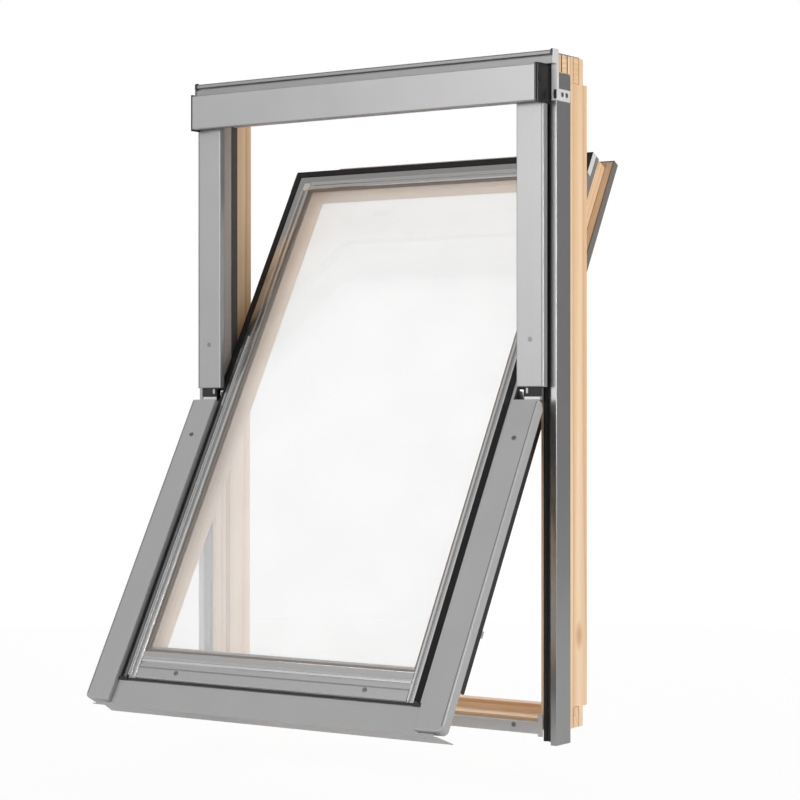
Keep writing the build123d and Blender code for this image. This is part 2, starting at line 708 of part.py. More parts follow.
# Section of the head lip: (out from the side lip's face, above the frame's top)
LIP_ROOF_REAR = RAIL_REAR - 12.0
PLUG_LENGTH = 4.5
NOSE_SECTION = [
    (2, HOOD_SHEET),
    (5, 5.5),
    (11, 5.5),
    (NOSE_REACH, 3.5),
    (NOSE_REACH, -1),
    (11.5, -2.5),
    (7, -2.5),
    (7, -6),
    (LIP_Y - HOOD_REAR, -6),
]

with BuildPart() as head_lip:
    bar(
        Plane.YZ.offset(-FRAME_HALF),
        [(LIP_ROOF_REAR, FRAME_HEIGHT), (LIP_ROOF_REAR, FRAME_HEIGHT + HOOD_SHEET)]
        + [(LIP_Y - out, FRAME_HEIGHT + rise) for out, rise in NOSE_SECTION]
        + [
            (HOOD_REAR, BAND_FOOT),
            (WOOD_FRONT, BAND_FOOT),
            (WOOD_FRONT, BAND_FOOT + HOOD_SHEET),
            (HOOD_REAR + HOOD_SHEET, BAND_FOOT + HOOD_SHEET),
            (HOOD_REAR + HOOD_SHEET, FRAME_HEIGHT - 6 - HOOD_SHEET),
            (LIP_Y - 7 + HOOD_SHEET, FRAME_HEIGHT - 6 - HOOD_SHEET),
            (LIP_Y - 7 + HOOD_SHEET, FRAME_HEIGHT),
        ],
        FRAME_WIDTH,
    )
    for sign in (-1, 1):
        end_xs = sorted((sign * (HOOD_HALF - RUNNING_GAP), sign * (FRAME_HALF + PAST)))
        frame_block(
            end_xs,
            (HOOD_REAR - PAST, WOOD_FRONT + PAST),
            (BAND_FOOT - PAST, BAND_END_FOOT),
            Mode.SUBTRACT,
        )
        plug_xs = sorted((sign * (FRAME_HALF - PLUG_LENGTH), sign * (FRAME_HALF + PAST)))
        frame_block(
            plug_xs,
            (LIP_Y - NOSE_REACH - PAST, LIP_Y - 7),
            (FRAME_HEIGHT - 5, BRACKET_TOP),
            Mode.SUBTRACT,
        )
finish(head_lip, "head_lip")

with BuildPart() as head_lip_plug:
    bar(
        Plane.YZ.offset(FRAME_HALF - PLUG_LENGTH),
        [
            (LIP_Y - 7.5, FRAME_HEIGHT - 3),
            (LIP_Y - NOSE_REACH - 1, FRAME_HEIGHT - 3),
            (LIP_Y - NOSE_REACH - 1, FRAME_HEIGHT + 4),
            (LIP_Y - NOSE_REACH + 2, BRACKET_TOP),
            (LIP_Y - 7.5, BRACKET_TOP),
        ],
        PLUG_LENGTH,
    )
finish_pair(head_lip_plug, "head_lip_plug")

# Pressed side covers: the upper pair stays on the frame, the lower pair turns with the sash


def side_cover(plane, front, outer_return, length, screw_rise, lower):
    """A shallow right-hand cover, open towards the wood.

    A lower cover has a rounded outer corner, a deep end and a cut upper corner.
    """
    inner_back = front + COVER_INNER_RETURN
    outer_back = front + outer_return
    inside = (COVER_INNER + SHEET, COVER_HALF - SHEET)
    along = Axis((0, 0, 0), plane.z_dir)
    inwards = Axis((0, 0, 0), plane.y_dir)
    side_start = SHEET if lower else -PAST
    with BuildPart() as cavity:
        bar(
            plane.offset(SHEET),
            box_outline(inside, (front + SHEET, outer_back + PAST)),
            length - 2 * SHEET,
        )
        bar(
            plane.offset(side_start),
            box_outline((COVER_INNER - PAST, inside[1]), (inner_back, outer_back + PAST)),
            length - side_start + PAST,
        )
        if lower:
            corner = cavity.edges().filter_by(inwards).group_by(Axis.X)[-1].group_by(along)[0]
            fillet(corner, COVER_CORNER_RADIUS - SHEET)
    with BuildPart() as cover:
        bar(plane, box_outline((COVER_INNER, COVER_HALF), (front, outer_back)), length)
        if lower:
            corner = cover.edges().filter_by(inwards).group_by(Axis.X)[-1].group_by(along)[0]
            fillet(corner, COVER_CORNER_RADIUS)
            rear = cover.edges().filter_by(Axis.X).group_by(inwards)[-1]
            chamfer(rear.sort_by(along)[-1], COVER_CHAMFER)
        face = cover.faces().filter_by(inwards).sort_by(inwards)[0]
        fillet(face.edges().sort_by(along)[:-1], COVER_EDGE_RADIUS)
        add(cavity.part, mode=Mode.SUBTRACT)
        line_x = COVER_HALF - COVER_LINE_INSET
        bar(
            plane.offset(COVER_CORNER_RADIUS if lower else -PAST),
            box_outline((line_x - COVER_LINE_SIZE, line_x), (front, front + COVER_LINE_SIZE)),
            length + 2 * PAST,
            Mode.SUBTRACT,
        )
        level = plane.offset(screw_rise)
        head = Plane(
            origin=level.from_local_coords((COVER_SCREW_X, front, 0)),
            x_dir=(1, 0, 0),
            z_dir=-level.y_dir,
        )
        screw_holes(head, [(0, 0)])
    return cover


upper_cover_blank = side_cover(
    Plane.XY.offset(PIVOT_Z + UPPER_COVER_START),
    UPPER_FRONT,
    UPPER_OUTER_RETURN,
    UPPER_COVER_END - UPPER_COVER_START,
    UPPER_SCREW_RISE - UPPER_COVER_START,
    lower=False,
)
with BuildPart() as upper_side_cover:
    add(upper_cover_blank.part)
    frame_block(
        (HOOD_HALF - RUNNING_GAP, COVER_HALF + PAST),
        (UPPER_FRONT - PAST, WOOD_FRONT),
        (HOOD_Z[0] - CAP_MARGIN - RUNNING_GAP, NOSE_TOP + PAST),
        Mode.SUBTRACT,
    )
finish_pair(upper_side_cover, "upper_side_cover")

lower_side_cover = side_cover(
    sash_level(-LOWER_COVER_END),
    -COVER_OUT,
    COVER_OUTER_RETURN,
    LOWER_COVER_END - LOWER_COVER_START,
    LOWER_COVER_END - LOWER_SCREW_DROP,
    lower=True,
)
finish_pair(lower_side_cover, "lower_side_cover")

# Hinge: a plate let into each stile carries the pin, and a plate on the sash turns on it
PIN_END_X = SASH_BODY + JOINT_GAP
PLATE_X = (STILE_FRONT_X - HINGE_PLATE_THICKNESS, STILE_FRONT_X)
SHOULDER_LENGTH = 4.0
BRACKET_Y = (PIVOT_Y - 49.0, PIVOT_Y - 35.0)
BRACKET_Z = (PIVOT_Z - 13.5, PIVOT_Z + 7.5)
BRACKET_X = (FRAME_HALF - 54.0, FRAME_HALF - 19.0)

with BuildPart() as frame_hinge_plate:
    frame_block(PLATE_X, (HINGE_FRONT, HINGE_REAR), PLATE_Z)
    fillet(frame_hinge_plate.edges().filter_by(Axis.X), 2 * HINGE_PLATE_THICKNESS)
    pin_plane = Plane.YZ.offset(PIN_END_X)
    rod(pin_plane, (PIVOT_Y, PIVOT_Z), HINGE_PIN_RADIUS, PLATE_X[0] - PIN_END_X)
    rod(
        Plane.YZ.offset(PLATE_X[0] - SHOULDER_LENGTH),
        (PIVOT_Y, PIVOT_Z),
        SHOULDER_RADIUS,
        SHOULDER_LENGTH,
    )
    arm_z = (BRACKET_Z[0] + 3.0, BRACKET_Z[1])
    frame_block(PLATE_X, (BRACKET_Y[0], HINGE_FRONT + 9.0), arm_z)
    frame_block(BRACKET_X, (BRACKET_Y[0], BRACKET_Y[0] + HINGE_PLATE_THICKNESS), BRACKET_Z)
    screw_holes(Plane.YZ.offset(PLATE_X[0]), FRAME_PLATE_SCREWS, -HINGE_PLATE_THICKNESS)
finish_pair(frame_hinge_plate, "frame_hinge_plate")

# Screws and rivets that stay with the frame
with BuildPart() as frame_screws:
    screws(frame_face(UPPER_FRONT), [(COVER_SCREW_X, UPPER_SCREW_Z)])
    screws(frame_face(LIP_Y), BOTTOM_SCREWS[1:], LIP_STANDOFF + SCREW_LENGTH / 2)
    screws(Plane.YZ.offset(FRAME_HALF + THIN_SHEET), TAB_RIVETS)
    plate_face = Plane(origin=(PLATE_X[0], 0, 0), x_dir=(0, 1, 0), z_dir=(-1, 0, 0))
    screws(plate_face, [(y, -z) for y, z in FRAME_PLATE_SCREWS])
    mirror(about=Plane.YZ)
finish(frame_screws, "frame_screws")

# Recess in the sash's edge, so that it turns past the lower ends of the upper covers
SCALLOP_X = COVER_INNER - RUNNING_GAP


def scallop(edge):
    """Cut the sash's right-hand edge outside a circle round the pivot."""
    with BuildSketch(sash_side(SCALLOP_X)) as section:
        with Locations((-SCALLOP_RADIUS, -SCALLOP_FOOT / 2)):
            Rectangle(SCALLOP_RADIUS, SCALLOP_FOOT)
        Circle(SCALLOP_RADIUS, mode=Mode.SUBTRACT)
    extrude(section.sketch, amount=edge - SCALLOP_X, mode=Mode.SUBTRACT)


# Sash stiles and rails
BAR_HOUSING_X = (SASH_HALF - 42.0, SASH_HALF - 2.0)
HOUSING_SCREW_X = BAR_HOUSING_X[0] + 6.0
HOUSING_SCREWS = [(HOUSING_SCREW_X, -BARREL_S - 12.0), (HOUSING_SCREW_X, -BARREL_S + 12.0)]
SASH_PLATE_N = (-18.0, 6.0)
SASH_PLATE_S = (-95.0, 28.0)
SASH_PLATE_SCREWS = [(-6.0, -85.0), (-6.0, -60.0)]
SASH_LEFT_SECTION = [(-x, n) for x, n in SASH_STILE_SECTION]
SASH_STILE_LAYERS = [(-SASH_LIP_OUT - PAST, SASH_FINGER[0]), (SASH_FINGER[1], SASH_REAR + PAST)]
SILL_STILE_LAYERS = [
    (-SASH_LIP_OUT - PAST, SASH_SILL_FINGER[0]),
    (SASH_SILL_FINGER[1], SASH_REAR + PAST),
]


def sash_stile():
    """The right-hand stile, before the holes for the barrel bolt's housing."""
    with BuildPart() as stile:
        bar(sash_level(SASH_FOOT), SASH_STILE_SECTION, SASH_TOP - SASH_FOOT)
        across = (SASH_INNER - PAST, SASH_HALF + PAST)
        top_of_body = SASH_TOP - SASH_FLANGE_WIDTH
        sash_block(
            across,
            (-SASH_LIP_OUT - PAST, SASH_FLANGE_FRONT),
            (top_of_body, SASH_TOP + PAST),
            Mode.SUBTRACT,
        )
        length = across[1] - across[0]
        layer_cut(sash_side(across[0]), SASH_HEAD_SECTION, SASH_FINGER, length, JOINT_GAP)
        layer_cut(
            sash_side(across[0]),
            SASH_SILL_SECTION,
            SASH_SILL_FINGER,
            SASH_BODY - across[0],
            JOINT_GAP,
        )
        scallop(SASH_BODY + PAST)
        screw_holes(sash_side(SASH_BODY), SASH_PLATE_SCREWS)
    return stile


def cut_sash_layers(layers, low, high):
    """Cut both stiles' layers out of a sash rail that lies between two heights."""
    for layer in layers:
        for outline in (SASH_STILE_SECTION, SASH_LEFT_SECTION):
            layer_cut(sash_level(low), outline, layer, high - low, upright=True)


sash_stile_blank = sash_stile()
with BuildPart() as sash_stile_left:
    mirror(sash_stile_blank.part, about=Plane.YZ)
finish(sash_stile_left, "sash_stile_left")

with BuildPart() as sash_stile_right:
    add(sash_stile_blank.part)
    screw_holes(sash_room(SASH_REAR), HOUSING_SCREWS)
finish(sash_stile_right, "sash_stile_right")

with BuildPart() as sash_head_rail:
    bar(sash_side(-SASH_HALF), SASH_HEAD_SECTION, 2 * SASH_HALF)
    cut_sash_layers(SASH_STILE_LAYERS, SASH_TOP - SASH_FACE_WIDTH - PAST, SASH_TOP + PAST)
    for xs in ((SASH_BODY, SASH_HALF + PAST), (-SASH_HALF - PAST, -SASH_BODY)):
        sash_block(
            xs,
            (-SASH_LIP_OUT - PAST, SASH_REAR + PAST),
            (SASH_TOP - SASH_FACE_WIDTH - PAST, SASH_TOP + PAST),
            Mode.SUBTRACT,
        )
finish(sash_head_rail, "sash_head_rail")

BOLT_XS = (-BOLT_SIZE[0] / 2, BOLT_SIZE[0] / 2)
BOLT_NS = (BOLT_N - BOLT_SIZE[1] / 2, BOLT_N + BOLT_SIZE[1] / 2)
BOLT_SS = (SASH_FOOT + BOLT_SETBACK, SASH_FOOT + BOLT_SETBACK + BOLT_SIZE[2])
MORTISE_TOP = LOCK_S + 10.0
SPINDLE_RADIUS = 3.5
SPINDLE_FRONT = BOLT_NS[1] + 1.5
HUB_RADIUS = 5.0
ROSE_HEIGHT = 6.0
ROSE_SIZE = (64.0, 24.0)
ROSE_SCREW_X = 24.0
ROSE_SCREWS = [(-ROSE_SCREW_X, -LOCK_S), (ROSE_SCREW_X, -LOCK_S)]
TOE_N = -3.0

with BuildPart() as sash_bottom_rail:
    bar(sash_side(-SASH_BODY), SASH_SILL_SECTION, 2 * SASH_BODY)
    cut_sash_layers(SILL_STILE_LAYERS, SASH_FOOT - PAST, SASH_FOOT + SASH_SILL_HEIGHT + PAST)
    sash_block(
        (BOLT_XS[0] - RUNNING_GAP, BOLT_XS[1] + RUNNING_GAP),
        (BOLT_NS[0] - RUNNING_GAP, BOLT_NS[1] + RUNNING_GAP),
        (SASH_FOOT - PAST, MORTISE_TOP),
        Mode.SUBTRACT,
    )
    rod(
        sash_room(BOLT_N),
        (0, -LOCK_S),
        SPINDLE_RADIUS + RUNNING_GAP,
        SASH_REAR - BOLT_N,
        Mode.SUBTRACT,
    )
    screw_holes(sash_room(SASH_REAR), ROSE_SCREWS)
finish(sash_bottom_rail, "sash_bottom_rail")

# Sealed double pane
PANE_OUTLINE = box_outline((-PANE_X, PANE_X), (PANE_FOOT, PANE_TOP))

with BuildPart() as inner_pane:
    bar(sash_face(SASH_REBATE_OUT), PANE_OUTLINE, PANE_THICKNESS)
finish(inner_pane, "inner_pane")

with BuildPart() as outer_pane:
    bar(sash_face(PANE_OUT - PANE_THICKNESS), PANE_OUTLINE, PANE_THICKNESS)
finish(outer_pane, "outer_pane")

with BuildPart() as spacer_bar:
    spacer_plane = sash_face(SASH_REBATE_OUT + PANE_THICKNESS)
    spacer_x = PANE_X - SPACER_INSET
    spacer_s = (PANE_FOOT + SPACER_INSET, PANE_TOP - SPACER_INSET)
    bar(spacer_plane, box_outline((-spacer_x, spacer_x), spacer_s), PANE_GAP)
    hole_x = spacer_x - SPACER_WIDTH
    hole_s = (spacer_s[0] + SPACER_WIDTH, spacer_s[1] - SPACER_WIDTH)
    bar(spacer_plane, box_outline((-hole_x, hole_x), hole_s), PANE_GAP, Mode.SUBTRACT)
finish(spacer_bar, "spacer_bar")

with BuildPart() as glazing_gasket:
    gasket_x = BEAD_X - GASKET_WIDTH
    gasket_s = (GASKET_FOOT + GASKET_WIDTH, BEAD_TOP_S - GASKET_WIDTH)
    bar(
        sash_face(PANE_OUT),
        box_outline((-BEAD_X, BEAD_X), (GASKET_FOOT, BEAD_TOP_S)),
        GASKET_HEIGHT,
    )
    bar(
        sash_face(PANE_OUT),
        box_outline((-gasket_x, gasket_x), gasket_s),
        GASKET_HEIGHT,
        Mode.SUBTRACT,
    )
finish(glazing_gasket, "glazing_gasket")

# Aluminium glazing beads: (offset in from the sash's outer edge, height above the pane)
BEAD_SECTION = [
    (0, -21),
    (0, 0),
    (13, 0),
    (13, 1.2),
    (28, 1.2),
    (28.8, 5),
    (31.5, 5),
    (33, 2.6),
    (38, 2.6),
    (39.5, 5),
    (42.5, 5),
    (BEAD_WIDTH, 3.5),
    (BEAD_WIDTH, 0.2),
    (18, BEAD_LIFT),
    (18, -1),
    (1, -1),
    (1, -21),
]
BEAD_BLOCK = 28.0
BEAD_END = SASH_FOOT - BEAD_FOOT
BEAD_REACH = SASH_HALF - BEAD_OFFSET
BEAD_CREST = 5.0
MITRE_REACH = 80.0


def bead_corner_cut(sign=1):
    """Cut away the place of the corner block."""
    xs = sorted((sign * BEAD_X, sign * (BEAD_REACH - BEAD_BLOCK)))
    sash_block(
        xs,
        (-PANE_OUT - BEAD_CREST - PAST, -PANE_OUT - BEAD_LIFT),
        (BEAD_TOP_S, SASH_TOP - BEAD_OFFSET - BEAD_BLOCK),
        Mode.SUBTRACT,
    )


with BuildPart() as glazing_bead:
    bar(
        sash_level(BEAD_END),
        [(BEAD_REACH - o, -PANE_OUT - rise) for o, rise in BEAD_SECTION],
        SASH_TOP - BEAD_OFFSET - BEAD_END,
    )
    bar(
        sash_face(0),
        [
            (BEAD_REACH, SASH_TOP - BEAD_OFFSET),
            (BEAD_REACH - MITRE_REACH, SASH_TOP - BEAD_OFFSET - MITRE_REACH),
            (BEAD_REACH - MITRE_REACH, SASH_TOP),
            (BEAD_REACH, SASH_TOP),
        ],
        PANE_OUT + 2 * BEAD_CREST,
        Mode.SUBTRACT,
    )
    bead_corner_cut()
    sash_block(
        (0, SASH_HALF),
        (-PANE_OUT - BEAD_LIFT, 0),
        (BEAD_END - PAST, SASH_FOOT + BEAD_LIFT),
        Mode.SUBTRACT,
    )
    scallop(SASH_HALF)
finish_pair(glazing_bead, "glazing_bead")

with BuildPart() as glazing_bead_top:
    bar(
        sash_side(-BEAD_REACH),
        [(-PANE_OUT - rise, SASH_TOP - BEAD_OFFSET - o) for o, rise in BEAD_SECTION],
        2 * BEAD_REACH,
    )
    for sign in (-1, 1):
        bar(
            sash_face(0),
            [
                (sign * BEAD_REACH, SASH_TOP - BEAD_OFFSET),
                (sign * (BEAD_REACH - MITRE_REACH), SASH_TOP - BEAD_OFFSET - MITRE_REACH),
                (sign * BEAD_REACH, SASH_TOP - BEAD_OFFSET - MITRE_REACH),
            ],
            PANE_OUT + 2 * BEAD_CREST,
            Mode.SUBTRACT,
        )
        bead_corner_cut(sign)
finish(glazing_bead_top, "glazing_bead_top")

with BuildPart() as bead_corner:
    bar(
        sash_face(PANE_OUT + 0.2),
        box_outline(
            (BEAD_X, BEAD_REACH - BEAD_BLOCK),
            (BEAD_TOP_S, SASH_TOP - BEAD_OFFSET - BEAD_BLOCK),
        ),
        BEAD_CREST - 0.2,
    )
    chamfer(bead_corner.faces().sort_by(OUTWARDS)[-1].edges(), 1.5)
finish_pair(bead_corner, "bead_corner")

# Flat bead across the foot of the pane: (height above the pane, drop from its upper edge)
BEAD_BOTTOM_SECTION = [
    (BEAD_LIFT, 0),
    (3.5, 0),
    (5, 1.5),
    (5, 11),
    (3.8, 12.5),
    (2.6, 14.5),
    (5, 16.5),
    (5, 19.5),
    (2.8, 21.5),
    (2.8, 29.5),
    (4.2, 31),
    (5, 33),
    (5, 49),
    (3.5, 51),
    (BEAD_LIFT, 51),
]
BOTTOM_BEAD_HALF = BEAD_X - 0.2
BEAD_SCREWS = [(-BEAD_SCREW_X, GASKET_FOOT - BEAD_SCREW_S), (BEAD_SCREW_X, GASKET_FOOT - BEAD_SCREW_S)]

with BuildPart() as glazing_bead_bottom:
    bar(
        sash_side(-BOTTOM_BEAD_HALF),
        [(-PANE_OUT - rise, GASKET_FOOT - drop) for rise, drop in BEAD_BOTTOM_SECTION],
        2 * BOTTOM_BEAD_HALF,
    )
    screw_holes(sash_face(PANE_OUT + BEAD_CREST), BEAD_SCREWS)
finish(glazing_bead_bottom, "glazing_bead_bottom")

# Seals round the sash
RIM_OFFSETS = (12.2, 23.5)
RIM_HEIGHT = 2.5
RIM_SEAL_WIDTH = 2.5
UPPER_RIM_START = 30.0

with BuildPart() as rim_gasket:
    outer_x = SASH_HALF - RIM_OFFSETS[0]
    inner_x = SASH_HALF - RIM_OFFSETS[1]
    bar(
        sash_face(PANE_OUT),
        [
            (-outer_x, BEAD_END),
            (-outer_x, SASH_TOP - RIM_OFFSETS[0]),
            (outer_x, SASH_TOP - RIM_OFFSETS[0]),
            (outer_x, BEAD_END),
            (inner_x, BEAD_END),
            (inner_x, SASH_TOP - RIM_OFFSETS[1]),
            (-inner_x, SASH_TOP - RIM_OFFSETS[1]),
            (-inner_x, BEAD_END),
        ],
        RIM_HEIGHT,
    )
    scallop(SASH_HALF)
    with BuildSketch(sash_side(-SCALLOP_X)) as left_scallop:
        with Locations((-SCALLOP_RADIUS, -SCALLOP_FOOT / 2)):
            Rectangle(SCALLOP_RADIUS, SCALLOP_FOOT)
        Circle(SCALLOP_RADIUS, mode=Mode.SUBTRACT)
    extrude(left_scallop.sketch, amount=SCALLOP_X - SASH_HALF, mode=Mode.SUBTRACT)
finish(rim_gasket, "rim_gasket")

with BuildPart() as upper_rim_seal:
    seal_x = SASH_HALF + RIM_SEAL_WIDTH
    bar(
        sash_face(-SASH_REAR),
        [
            (-seal_x, UPPER_RIM_START),
            (-seal_x, SASH_TOP + RIM_SEAL_WIDTH),
            (seal_x, SASH_TOP + RIM_SEAL_WIDTH),
            (seal_x, UPPER_RIM_START),
            (SASH_HALF, UPPER_RIM_START),
            (SASH_HALF, SASH_TOP),
            (-SASH_HALF, SASH_TOP),
            (-SASH_HALF, UPPER_RIM_START),
        ],
        SASH_REAR - SASH_FLANGE_FRONT,
    )
finish(upper_rim_seal, "upper_rim_seal")

with BuildPart() as lower_rim_seal:
    sash_block(
        (SASH_HALF, SASH_HALF + RIM_SEAL_WIDTH),
        (SASH_FLANGE_FRONT, SASH_REAR),
        (SASH_FOOT, -UPPER_RIM_START),
    )
finish_pair(lower_rim_seal, "lower_rim_seal")

# Hidden carrier of each lower cover: a web on the bead's leg, a plate and a rib
CARRIER_X = (SASH_HALF - BEAD_OFFSET, COVER_HALF - 4.7)
CARRIER_OUT = (21.0, 36.0, 38.0)
CARRIER_S = (15.0 - LOWER_COVER_END, -62.0)
RIB_X = (COVER_SCREW_X - 3.5, COVER_SCREW_X + 3.5)
WEB_FOOT = SASH_FOOT + 6.0

with BuildPart() as cover_carrier:
    bar(
        sash_level(CARRIER_S[0]),
        [
            (CARRIER_X[0], -CARRIER_OUT[2]),
            (RIB_X[0], -CARRIER_OUT[2]),
            (RIB_X[0], SHEET - COVER_OUT),
            (RIB_X[1], SHEET - COVER_OUT),
            (RIB_X[1], -CARRIER_OUT[2]),
            (CARRIER_X[1], -CARRIER_OUT[2]),
            (CARRIER_X[1], -CARRIER_OUT[1]),
            (CARRIER_X[0], -CARRIER_OUT[1]),
        ],
        CARRIER_S[1] - CARRIER_S[0],
    )
    sash_block(
        (CARRIER_X[0], CARRIER_X[0] + 2.0),
        (-CARRIER_OUT[1], -CARRIER_OUT[0]),
        (WEB_FOOT, CARRIER_S[1]),
    )
    screw_holes(sash_face(COVER_OUT), [(COVER_SCREW_X, -LOWER_SCREW_DROP)])
finish_pair(cover_carrier, "cover_carrier")

# Folded cover along the foot of the sash, screwed up against its bottom rail
FOOT_COVER_X = COVER_INNER - RUNNING_GAP
FOOT_PLATE_X = COVER_INNER - PAST
DRIP_X = COVER_HALF - 19.7
DRIP_RETURN_X = COVER_HALF - 13.7
DRIP_MITRE_X = COVER_HALF - 39.7
DRIP_S = LOWER_COVER_END + 1.5
FOOT_OUT = 45.4
FOOT_JOG = SASH_FOOT - 54.5
FOOT_END = -LOWER_COVER_END - 7.0
RETURN_N = 7.0
RETURN_S = FOOT_END + 9.0

with BuildPart() as bottom_cover:
    bar(
        sash_side(-FOOT_PLATE_X),
        [
            (TOE_N, SASH_FOOT),
            (-PANE_OUT, SASH_FOOT),
            (-PANE_OUT, FOOT_JOG + HOOD_SHEET),
            (-FOOT_OUT, FOOT_JOG + HOOD_SHEET),
            (-FOOT_OUT, FOOT_JOG),
            (HOOD_SHEET - PANE_OUT, FOOT_JOG),
            (HOOD_SHEET - PANE_OUT, SASH_FOOT - HOOD_SHEET),
            (TOE_N, SASH_FOOT - HOOD_SHEET),
        ],
        2 * FOOT_PLATE_X,
    )
    sash_block(
        (-FOOT_COVER_X, FOOT_COVER_X),
        (-FOOT_OUT, HOOD_SHEET - FOOT_OUT),
        (FOOT_END, FOOT_JOG + HOOD_SHEET),
    )
    sash_block(
        (-DRIP_X, DRIP_X),
        (-FOOT_OUT, HOOD_SHEET - FOOT_OUT),
        (FOOT_END, -DRIP_S),
    )
    bar(
        sash_side(-DRIP_RETURN_X),
        [
            (-FOOT_OUT, FOOT_END),
            (RETURN_N, RETURN_S),
            (RETURN_N, RETURN_S + HOOD_SHEET),
            (-FOOT_OUT, FOOT_END + HOOD_SHEET),
        ],
        2 * DRIP_RETURN_X,
    )
    bar(
        sash_level(FOOT_END - PAST),
        [
            (-DRIP_MITRE_X, HOOD_SHEET - FOOT_OUT),
            (-DRIP_RETURN_X, RETURN_N),
            (-DRIP_RETURN_X - PAST, RETURN_N),
            (-DRIP_RETURN_X - PAST, HOOD_SHEET - FOOT_OUT),
        ],
        RETURN_S - FOOT_END + 2 * PAST,
        Mode.SUBTRACT,
    )
finish(bottom_cover, "bottom_cover")

# Plates on the sash that turn on the pins
SASH_PLATE_X = (SASH_BODY, SASH_BODY + SASH_PLATE_THICKNESS)

with BuildPart() as sash_hinge_plate:
    sash_block(SASH_PLATE_X, SASH_PLATE_N, SASH_PLATE_S)
    fillet(sash_hinge_plate.edges().filter_by(Axis.X), SASH_PLATE_THICKNESS)
    rod(
        sash_side(SASH_PLATE_X[0]),
        (0, 0),
        HINGE_PIN_RADIUS + FIT,
        SASH_PLATE_THICKNESS,
        Mode.SUBTRACT,
    )
    screw_holes(sash_side(SASH_PLATE_X[1]), SASH_PLATE_SCREWS)
finish_pair(sash_hinge_plate, "sash_hinge_plate")

# Weather bar on top of the sash, which closes the gap to the head stop
TOP_BAR_HALF = SASH_HALF - 66.0
TOP_BAR_N = (8.0, 20.0)
TOP_BAR_HEIGHT = 27.0

with BuildPart() as sash_top_bar:
    sash_block(
        (-TOP_BAR_HALF, TOP_BAR_HALF),
        TOP_BAR_N,
        (SASH_TOP + RIM_SEAL_WIDTH, SASH_TOP + RIM_SEAL_WIDTH + TOP_BAR_HEIGHT),
    )
    long_edges = sash_top_bar.edges().filter_by(Axis.X).group_by(UPWARDS)[-1]
    fillet(long_edges, TOP_BAR_HEIGHT / 9)
finish(sash_top_bar, "sash_top_bar")

# Handle, its rose and the bolt that it drives
LEVER_LENGTH = 118.0
LEVER_WIDTH = 15.0
LEVER_N = (SASH_REAR + 24.0, SASH_REAR + 34.0)

with BuildPart() as handle_rose:
    with BuildSketch(sash_room(SASH_REAR)) as rose_outline:
        with Locations((0, -LOCK_S)):
            SlotOverall(ROSE_SIZE[0], ROSE_SIZE[1])
            Circle(HUB_RADIUS + FIT, mode=Mode.SUBTRACT)
    extrude(rose_outline.sketch, amount=ROSE_HEIGHT)
    screw_holes(sash_room(SASH_REAR + ROSE_HEIGHT), ROSE_SCREWS, ROSE_HEIGHT)
finish(handle_rose, "handle_rose")

with BuildPart() as handle_lever:
    rod(sash_room(SPINDLE_FRONT), (0, -LOCK_S), SPINDLE_RADIUS, LEVER_N[0] - SPINDLE_FRONT)
    rod(sash_room(SASH_REAR + JOINT_GAP), (0, -LOCK_S), HUB_RADIUS, LEVER_N[0] - SASH_REAR)
    with BuildSketch(sash_room(LEVER_N[0])) as lever_outline:
        with Locations((LEVER_LENGTH / 2 - LEVER_WIDTH / 2, -LOCK_S)):
            SlotOverall(LEVER_LENGTH, LEVER_WIDTH)
    extrude(lever_outline.sketch, amount=LEVER_N[1] - LEVER_N[0])
    rim = handle_lever.faces().sort_by(ROOMWARDS)[-1].edges()
    fillet(rim, LEVER_WIDTH / 5)
finish(handle_lever, "handle_lever")

with BuildPart() as lock_bolt:
    sash_block(BOLT_XS, BOLT_NS, BOLT_SS)
    toe = lock_bolt.edges().filter_by(Axis.X).group_by(UPWARDS)[0]
    chamfer(toe, BOLT_SIZE[1] / 4)
finish(lock_bolt, "lock_bolt")

# Barrel bolt on the right stile, which holds the turned sash
HOUSING_REACH = 6.0
HOUSING_HALF_HEIGHT = 18.0
HOUSING_BASE = 3.0
KNOB_RADIUS = 5.0
KNOB_HEIGHT = 14.0
PIN_X = (SASH_HALF - 46.0, SASH_HALF - 2.0)
KNOB_X = SASH_HALF - 24.0
KNOB_SLOT_X = (KNOB_X - 3.5, KNOB_X + 18.5)

with BuildPart() as barrel_bolt_housing:
    rear = (SASH_REAR, SASH_REAR + HOUSING_BASE)
    sash_block(
        (BAR_HOUSING_X[0], BAR_HOUSING_X[0] + 12.0),
        rear,
        (BARREL_S - HOUSING_HALF_HEIGHT, BARREL_S + HOUSING_HALF_HEIGHT),
    )
    sash_block(
        BAR_HOUSING_X,
        (SASH_REAR, BARREL_N + HOUSING_REACH),
        (BARREL_S - HOUSING_REACH, BARREL_S + HOUSING_REACH),
    )
    rod(
        sash_side(BAR_HOUSING_X[0]),
        (BARREL_N, BARREL_S),
        BARREL_RADIUS + FIT,
        BAR_HOUSING_X[1] - BAR_HOUSING_X[0],
        Mode.SUBTRACT,
    )
    sash_block(
        KNOB_SLOT_X,
        (BARREL_N, BARREL_N + HOUSING_REACH + PAST),
        (BARREL_S - BARREL_RADIUS + 1, BARREL_S + BARREL_RADIUS - 1),
        Mode.SUBTRACT,
    )
    screw_holes(sash_room(SASH_REAR + HOUSING_BASE), HOUSING_SCREWS, HOUSING_BASE)
finish(barrel_bolt_housing, "barrel_bolt_housing")

